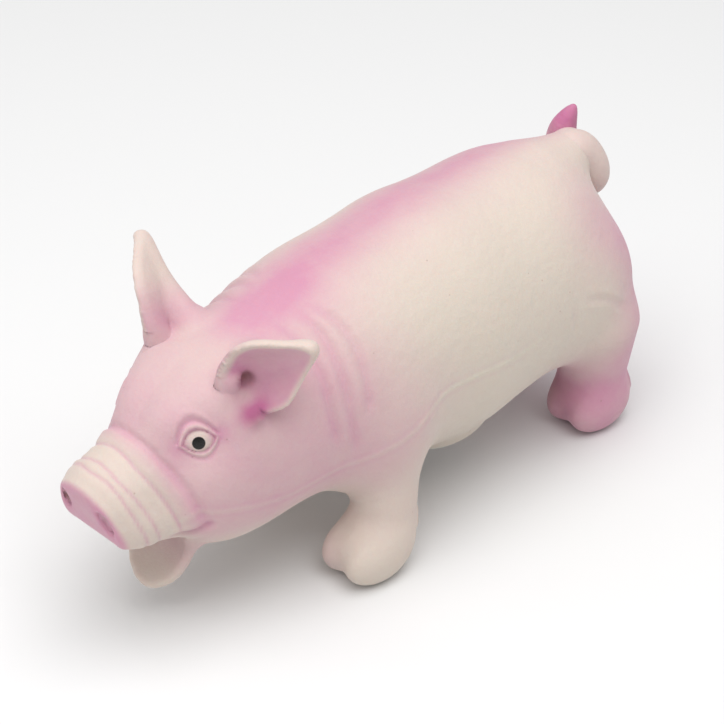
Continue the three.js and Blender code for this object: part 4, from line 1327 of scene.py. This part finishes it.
def latex_material(name, paints, pupil_way=None, radius=0.0):
    """Airbrushed latex, with the pupils painted on it where their way is given"""
    if name in bpy.data.materials:
        return bpy.data.materials[name]
    material, tree, shader = new_material(name)
    brush = tree.nodes.new("ShaderNodeGroup")
    brush.node_tree = airbrush_group()
    colours = {"Cream": paints.cream, "Pink": paints.pink, "Magenta": paints.magenta, "Painted hollow shade": paints.painted_shade}
    for label, colour in colours.items():
        brush.inputs[label].default_value = (*colour, 1.0)
    brush.inputs["Roughness"].default_value = paints.roughness
    colour = brush.outputs["Color"]
    rough = brush.outputs["Roughness"]
    if pupil_way is not None:
        pupil = pupil_mask(tree, pupil_way, radius)
        colour = mixed(tree, pupil, colour, (*paints.pupil, 1.0))
        rough = math_node(tree, "SUBTRACT", rough, math_node(tree, "MULTIPLY", pupil, 0.35))
    tree.links.new(colour, shader.inputs["Base Color"])
    tree.links.new(rough, shader.inputs["Roughness"])
    add_bump(tree, shader, brush.outputs["Height"], *LATEX_BUMP)
    for label, value in LATEX_FINISH.items():
        shader.inputs[label].default_value = value
    return material


def moulded_material(name, colour, roughness, metallic, grain_scale):
    """Plain moulded or rolled stock with a fine grain"""
    material, tree, shader = new_material(name)
    place = tree.nodes.new("ShaderNodeTexCoord").outputs["Object"]
    cloud = spread(tree, noise(tree, place, 90, 3), 0.3, 0.7)
    worn = tuple(0.82 * c for c in colour)
    rubbed = spread(tree, noise(tree, place, 300, 3), 0.3, 0.7, roughness - 0.06, roughness + 0.08)
    tree.links.new(mixed(tree, cloud, (*colour, 1.0), (*worn, 1.0)), shader.inputs["Base Color"])
    tree.links.new(rubbed, shader.inputs["Roughness"])
    add_bump(tree, shader, noise(tree, place, grain_scale, 2), *STOCK_BUMP)
    shader.inputs["Metallic"].default_value = metallic
    return material


# Operators


def moulded_skin(form):
    """The skin's settled mesh, finer at the eyes, nostrils, ears and jaw, and its outward normals"""
    mesh = remeshed("skin", skin_balls(form), form.mesh_step)
    settle(mesh, under_skin, form, 4)
    relax(mesh, 2)
    settle(mesh, under_skin, form, 2)
    refine(mesh, np.ones(len(mesh.vertices), bool))
    settle(mesh, under_skin, form, 2)
    co = places_of(mesh)
    near = near_side(co)
    fine = np.linalg.norm(near - EYE, axis=1) < EYE_FINE
    fine |= np.linalg.norm(near - NOSTRIL, axis=1) < NOSTRIL_FINE
    fine |= on_leaves(co)
    refine(mesh, fine)
    settle(mesh, under_skin, form, 1)
    relax(mesh, 3, on_leaves(places_of(mesh)))
    normals = settle(mesh, under_skin, form, 2)
    relax(mesh, 2, on_leaves(places_of(mesh)))
    return mesh, normals


def seat_grunter(co):
    """Draws the belly in to the grunter's case"""
    away = np.hypot(co[:, 0] - GRUNTER_X, co[:, 1])
    seat = 1 - rise(away, CASE_SEAT_RADIUS, CASE_SEAT_RADIUS + CASE_SEAT_FADE)
    co[:, 2] += seat * (co[:, 2] < BELLY_LOW) * (CASE_SEAT_Z - co[:, 2])


def stand_right_ear(co, form):
    """Stands the right ear a little higher than the left one, and bows it"""
    right = np.flatnonzero(on_ear_side(co) & (co[:, 1] < 0))
    near = near_side(co[right])
    on_ear = 1 - rise(under_ear(near, form), 1.5, 7)
    along = np.maximum((near - EAR_ROOT) @ EAR_WAY, 0) / EAR_LENGTH * on_ear
    co[right, 2] += RIGHT_EAR_STANDS * along ** 1.4
    co[right] += (4 * along * np.maximum(1 - along, 0))[:, None] * RIGHT_EAR_BOWS


class PIG_OT_mould_skin(bpy.types.Operator):
    """Moulds the whole skin, paints it and parts it where it flexes"""

    bl_idname = "pig.mould_skin"
    bl_label = "Mould the skin"

    def execute(self, context):
        form = context.scene.pig_form
        mesh, normals = moulded_skin(form)
        co = places_of(mesh)
        lift, crease_blush, crease_painted_shade = relief(co, form)
        co = co + normals * lift[:, None]
        co[:, 2] = np.maximum(co[:, 2], 0.0)
        seat_grunter(co)
        blush, magenta, painted_shade = paint(co, form)
        stand_right_ear(co, form)
        set_places(mesh, co)
        store_paint(mesh, blush + crease_blush, magenta, painted_shade + crease_painted_shade)
        store(mesh, "skin_normal", "FLOAT_VECTOR", vertex_normals(mesh))
        bm = bmesh.new()
        bm.from_mesh(mesh)
        bpy.data.meshes.remove(mesh)
        cut_skin(bm)
        part_skin(bm)
        bm.free()
        return {"FINISHED"}


class PIG_OT_trunk_and_head(bpy.types.Operator):
    """Sets the stuffed skin of the trunk and head on the frame"""

    bl_idname = "pig.trunk_and_head"
    bl_label = "Trunk and head"

    def execute(self, context):
        form, paints = context.scene.pig_form, context.scene.pig_paint
        face_latex = latex_material("Face latex", paints, eye_ways(form)[1], form.pupil_radius)
        trunk = skin_piece("trunk_skin", latex_material("Body latex", paints))
        head = skin_piece("head_skin_latex", face_latex)
        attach(trunk, "body")
        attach(head, "body")
        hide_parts("torso_skin", "torso_stuffing")
        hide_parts("head_skin", "head_stuffing")
        return {"FINISHED"}


class PIG_OT_flanks(bpy.types.Operator):
    """Sets the wedges of the two flanks, which a squeeze presses in"""

    bl_idname = "pig.flanks"
    bl_label = "Flanks"

    def execute(self, context):
        material = latex_material("Body latex", context.scene.pig_paint)
        for name in ("left", "right"):
            for i, way in enumerate(wedge_ways()):
                piece = skin_piece(f"{name}_flank_skin_{i + 1}", material)
                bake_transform(piece)
                if i == 0:
                    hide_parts(f"{name}_flank")
        return {"FINISHED"}


class PIG_OT_legs(bpy.types.Operator):
    """Sets the skin of the four stuffed legs"""

    bl_idname = "pig.legs"
    bl_label = "Legs"

    def execute(self, context):
        material = latex_material("Body latex", context.scene.pig_paint)
        for side, name in ((1, "left"), (-1, "right")):
            way = mirrored(LEG_CUT_WAY, side)
            start, end = in_frame(LEG_CUT * way), in_frame(LEG_FOLLOWS * way)
            for pair in ("front", "hind"):
                piece = skin_piece(f"{pair}_{name}_leg_skin", material)
                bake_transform(piece)
                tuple(start)
                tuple(end)
                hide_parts(f"{pair}_{name}_leg", f"{pair}_{name}_leg_stuffing")
        return {"FINISHED"}


class PIG_OT_ears(bpy.types.Operator):
    """Sets the two cupped ears"""

    bl_idname = "pig.ears"
    bl_label = "Ears"

    def execute(self, context):
        material = latex_material("Ear latex", context.scene.pig_paint)
        for side, name in ((1, "left"), (-1, "right")):
            root, way = mirrored(EAR_ROOT, side), mirrored(EAR_WAY, side)
            start, end = in_frame(root + EAR_CUT * way), in_frame(root + EAR_FOLLOWS * way)
            piece = skin_piece(f"{name}_ear_latex", material)
            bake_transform(piece)
            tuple(start)
            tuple(end)
            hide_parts(f"{name}_ear")
        return {"FINISHED"}


class PIG_OT_jaw(bpy.types.Operator):
    """Sets the hanging scoop of the lower jaw"""

    bl_idname = "pig.jaw"
    bl_label = "Lower jaw"

    def execute(self, context):
        piece = skin_piece("jaw_latex", latex_material("Body latex", context.scene.pig_paint))
        start, end = in_frame(JAW_ROOT + JAW_CUT * JAW_WAY), in_frame(JAW_ROOT + JAW_FOLLOWS * JAW_WAY)
        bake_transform(piece)
        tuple(start)
        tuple(end)
        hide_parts("lower_jaw")
        return {"FINISHED"}


class PIG_OT_tail(bpy.types.Operator):
    """Moulds the curled tail over the rump"""

    bl_idname = "pig.tail"
    bl_label = "Tail"

    def execute(self, context):
        form = context.scene.pig_form
        line = tail_line(TAIL_BALLS)
        balls = [(tuple(row[:3]), (row[3],) * 3) for row in line]
        mesh = remeshed("tail_latex", balls, TAIL_MESH_STEP)
        settle(mesh, under_tail, form, 3)
        relax(mesh, 2)
        settle(mesh, under_tail, form, 2)
        refine(mesh, np.ones(len(mesh.vertices), bool))
        settle(mesh, under_tail, form, 2)
        co = places_of(mesh)
        away = np.linalg.norm(co[:, None, :] - line[None, :, :3].astype(np.float32), axis=2)
        along = away.argmin(axis=1) / (len(line) - 1)
        blush = 0.26 + 0.4 * rise(along, 0.45, 0.75)
        store_paint(mesh, blush, 0.95 * rise(along, 0.66, 0.9), 0.0 * along)
        bm = bmesh.new()
        bm.from_mesh(mesh)
        bpy.data.meshes.remove(mesh)
        piece = finish_piece("tail_latex", bm, latex_material("Tail latex", context.scene.pig_paint))
        start, end = in_frame((TAIL_CUT, 0, 0)), in_frame((TAIL_FOLLOWS, 0, 0))
        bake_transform(piece)
        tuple(start)
        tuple(end)
        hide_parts("tail")
        return {"FINISHED"}


class PIG_OT_grunter(bpy.types.Operator):
    """Gives the grunter its moulded plastic and its reed brass"""

    bl_idname = "pig.grunter"
    bl_label = "Grunter"

    def execute(self, context):
        paints = context.scene.pig_paint
        plastic = moulded_material("Grunter plastic", tuple(paints.plastic), 0.42, 0.0, 900)
        brass = moulded_material("Reed brass", tuple(paints.brass), 0.32, 1.0, 1600)
        nodes = {o["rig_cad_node"]: o for o in context.scene.objects if "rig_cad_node" in o}
        for name in ("grunter_case", "grunter_grille", "reed_block", "reed_wedge", "reed_tongue"):
            nodes[name].data.materials.clear()
            nodes[name].data.materials.append(brass if name == "reed_tongue" else plastic)
        return {"FINISHED"}


def lay_floor(scene, stage):
    bm = bmesh.new()
    bmesh.ops.create_grid(bm, x_segments=1, y_segments=1, size=FLOOR_SIZE)
    mesh = bpy.data.meshes.new("floor")
    bm.to_mesh(mesh)
    bm.free()
    floor = bpy.data.objects.new("floor", mesh)
    scene.collection.objects.link(floor)
    paper, _, shader = new_material("Floor paper")
    shader.inputs["Base Color"].default_value = (*stage.floor, 1.0)
    shader.inputs["Roughness"].default_value = 0.9
    shader.inputs["Specular IOR Level"].default_value = 0.1
    mesh.materials.append(paper)


def set_lights(scene, stage):
    world = bpy.data.worlds.new("Studio")
    world.use_nodes = True
    sky = world.node_tree.nodes["Background"]
    sky.inputs["Color"].default_value = (1.0, 1.0, 1.0, 1.0)
    sky.inputs["Strength"].default_value = stage.sky
    scene.world = world
    scene.view_settings.view_transform = "Standard"
    for name, place, size, share in LIGHTS:
        light = bpy.data.lights.new(name, "AREA")
        light.size = size
        light.energy = stage.key_power * share
        lamp = bpy.data.objects.new(name, light)
        lamp.location = place
        lamp.rotation_euler = (LIGHTS_AIM - Vector(place)).to_track_quat("-Z", "Y").to_euler()
        scene.collection.objects.link(lamp)


def set_camera(scene, stage):
    level = math.cos(stage.elevation)
    turn = stage.azimuth
    way = Vector((level * math.cos(turn), level * math.sin(turn), math.sin(stage.elevation)))
    camera = bpy.data.objects.new("Camera", bpy.data.cameras.new("Camera"))
    camera.data.lens = stage.lens
    camera.data.sensor_width = SENSOR
    camera.location = CAMERA_SPOT * MM + SHIFT + way * stage.distance
    side = Vector((0, 0, 1)).cross(way).normalized()
    up = way.cross(side)
    pixel = SENSOR / PICTURE_PIXELS / stage.lens
    aim = -way - AIM_PIXELS[0] * pixel * side - AIM_PIXELS[1] * pixel * up
    camera.rotation_euler = aim.to_track_quat("-Z", "Y").to_euler()
    scene.collection.objects.link(camera)
    scene.camera = camera


class PIG_OT_stage(bpy.types.Operator):
    """Sets the floor, the soft studio light and the camera"""

    bl_idname = "pig.stage"
    bl_label = "Stage"

    def execute(self, context):
        scene = context.scene
        lay_floor(scene, scene.pig_stage)
        set_lights(scene, scene.pig_stage)
        set_camera(scene, scene.pig_stage)
        return {"FINISHED"}


class PIG_PT_panel(bpy.types.Panel):
    """Lists the pig's settings and the operators that make it"""

    bl_idname = "PIG_PT_panel"
    bl_label = "Latex pig"
    bl_space_type = "VIEW_3D"
    bl_region_type = "UI"
    bl_category = "Latex pig"

    def draw(self, context):
        for group in (context.scene.pig_form, context.scene.pig_paint, context.scene.pig_stage):
            box = self.layout.box()
            for name in group.bl_rna.properties.keys():
                if name not in {"rna_type", "name"}:
                    box.prop(group, name)
        for operator in OPERATORS:
            self.layout.operator(operator.bl_idname)


OPERATORS = (
    PIG_OT_stage,
    PIG_OT_mould_skin,
    PIG_OT_trunk_and_head,
    PIG_OT_flanks,
    PIG_OT_legs,
    PIG_OT_ears,
    PIG_OT_jaw,
    PIG_OT_tail,
    PIG_OT_grunter,
)
GROUPS = (("pig_form", PigForm), ("pig_paint", PigPaint), ("pig_stage", PigStage))


def register():
    for name, group in GROUPS:
        bpy.utils.register_class(group)
        setattr(bpy.types.Scene, name, PointerProperty(type=group))
    for operator in OPERATORS:
        bpy.utils.register_class(operator)
    bpy.utils.register_class(PIG_PT_panel)


def unregister():
    bpy.utils.unregister_class(PIG_PT_panel)
    for operator in reversed(OPERATORS):
        bpy.utils.unregister_class(operator)
    for name, group in reversed(GROUPS):
        delattr(bpy.types.Scene, name)
        bpy.utils.unregister_class(group)


def main():
    register()
    bpy.ops.pig.stage()
    bpy.ops.pig.mould_skin()
    bpy.ops.pig.trunk_and_head()
    bpy.ops.pig.flanks()
    bpy.ops.pig.legs()
    bpy.ops.pig.ears()
    bpy.ops.pig.jaw()
    bpy.ops.pig.tail()
    bpy.ops.pig.grunter()


if __name__ == "__main__":
    main()
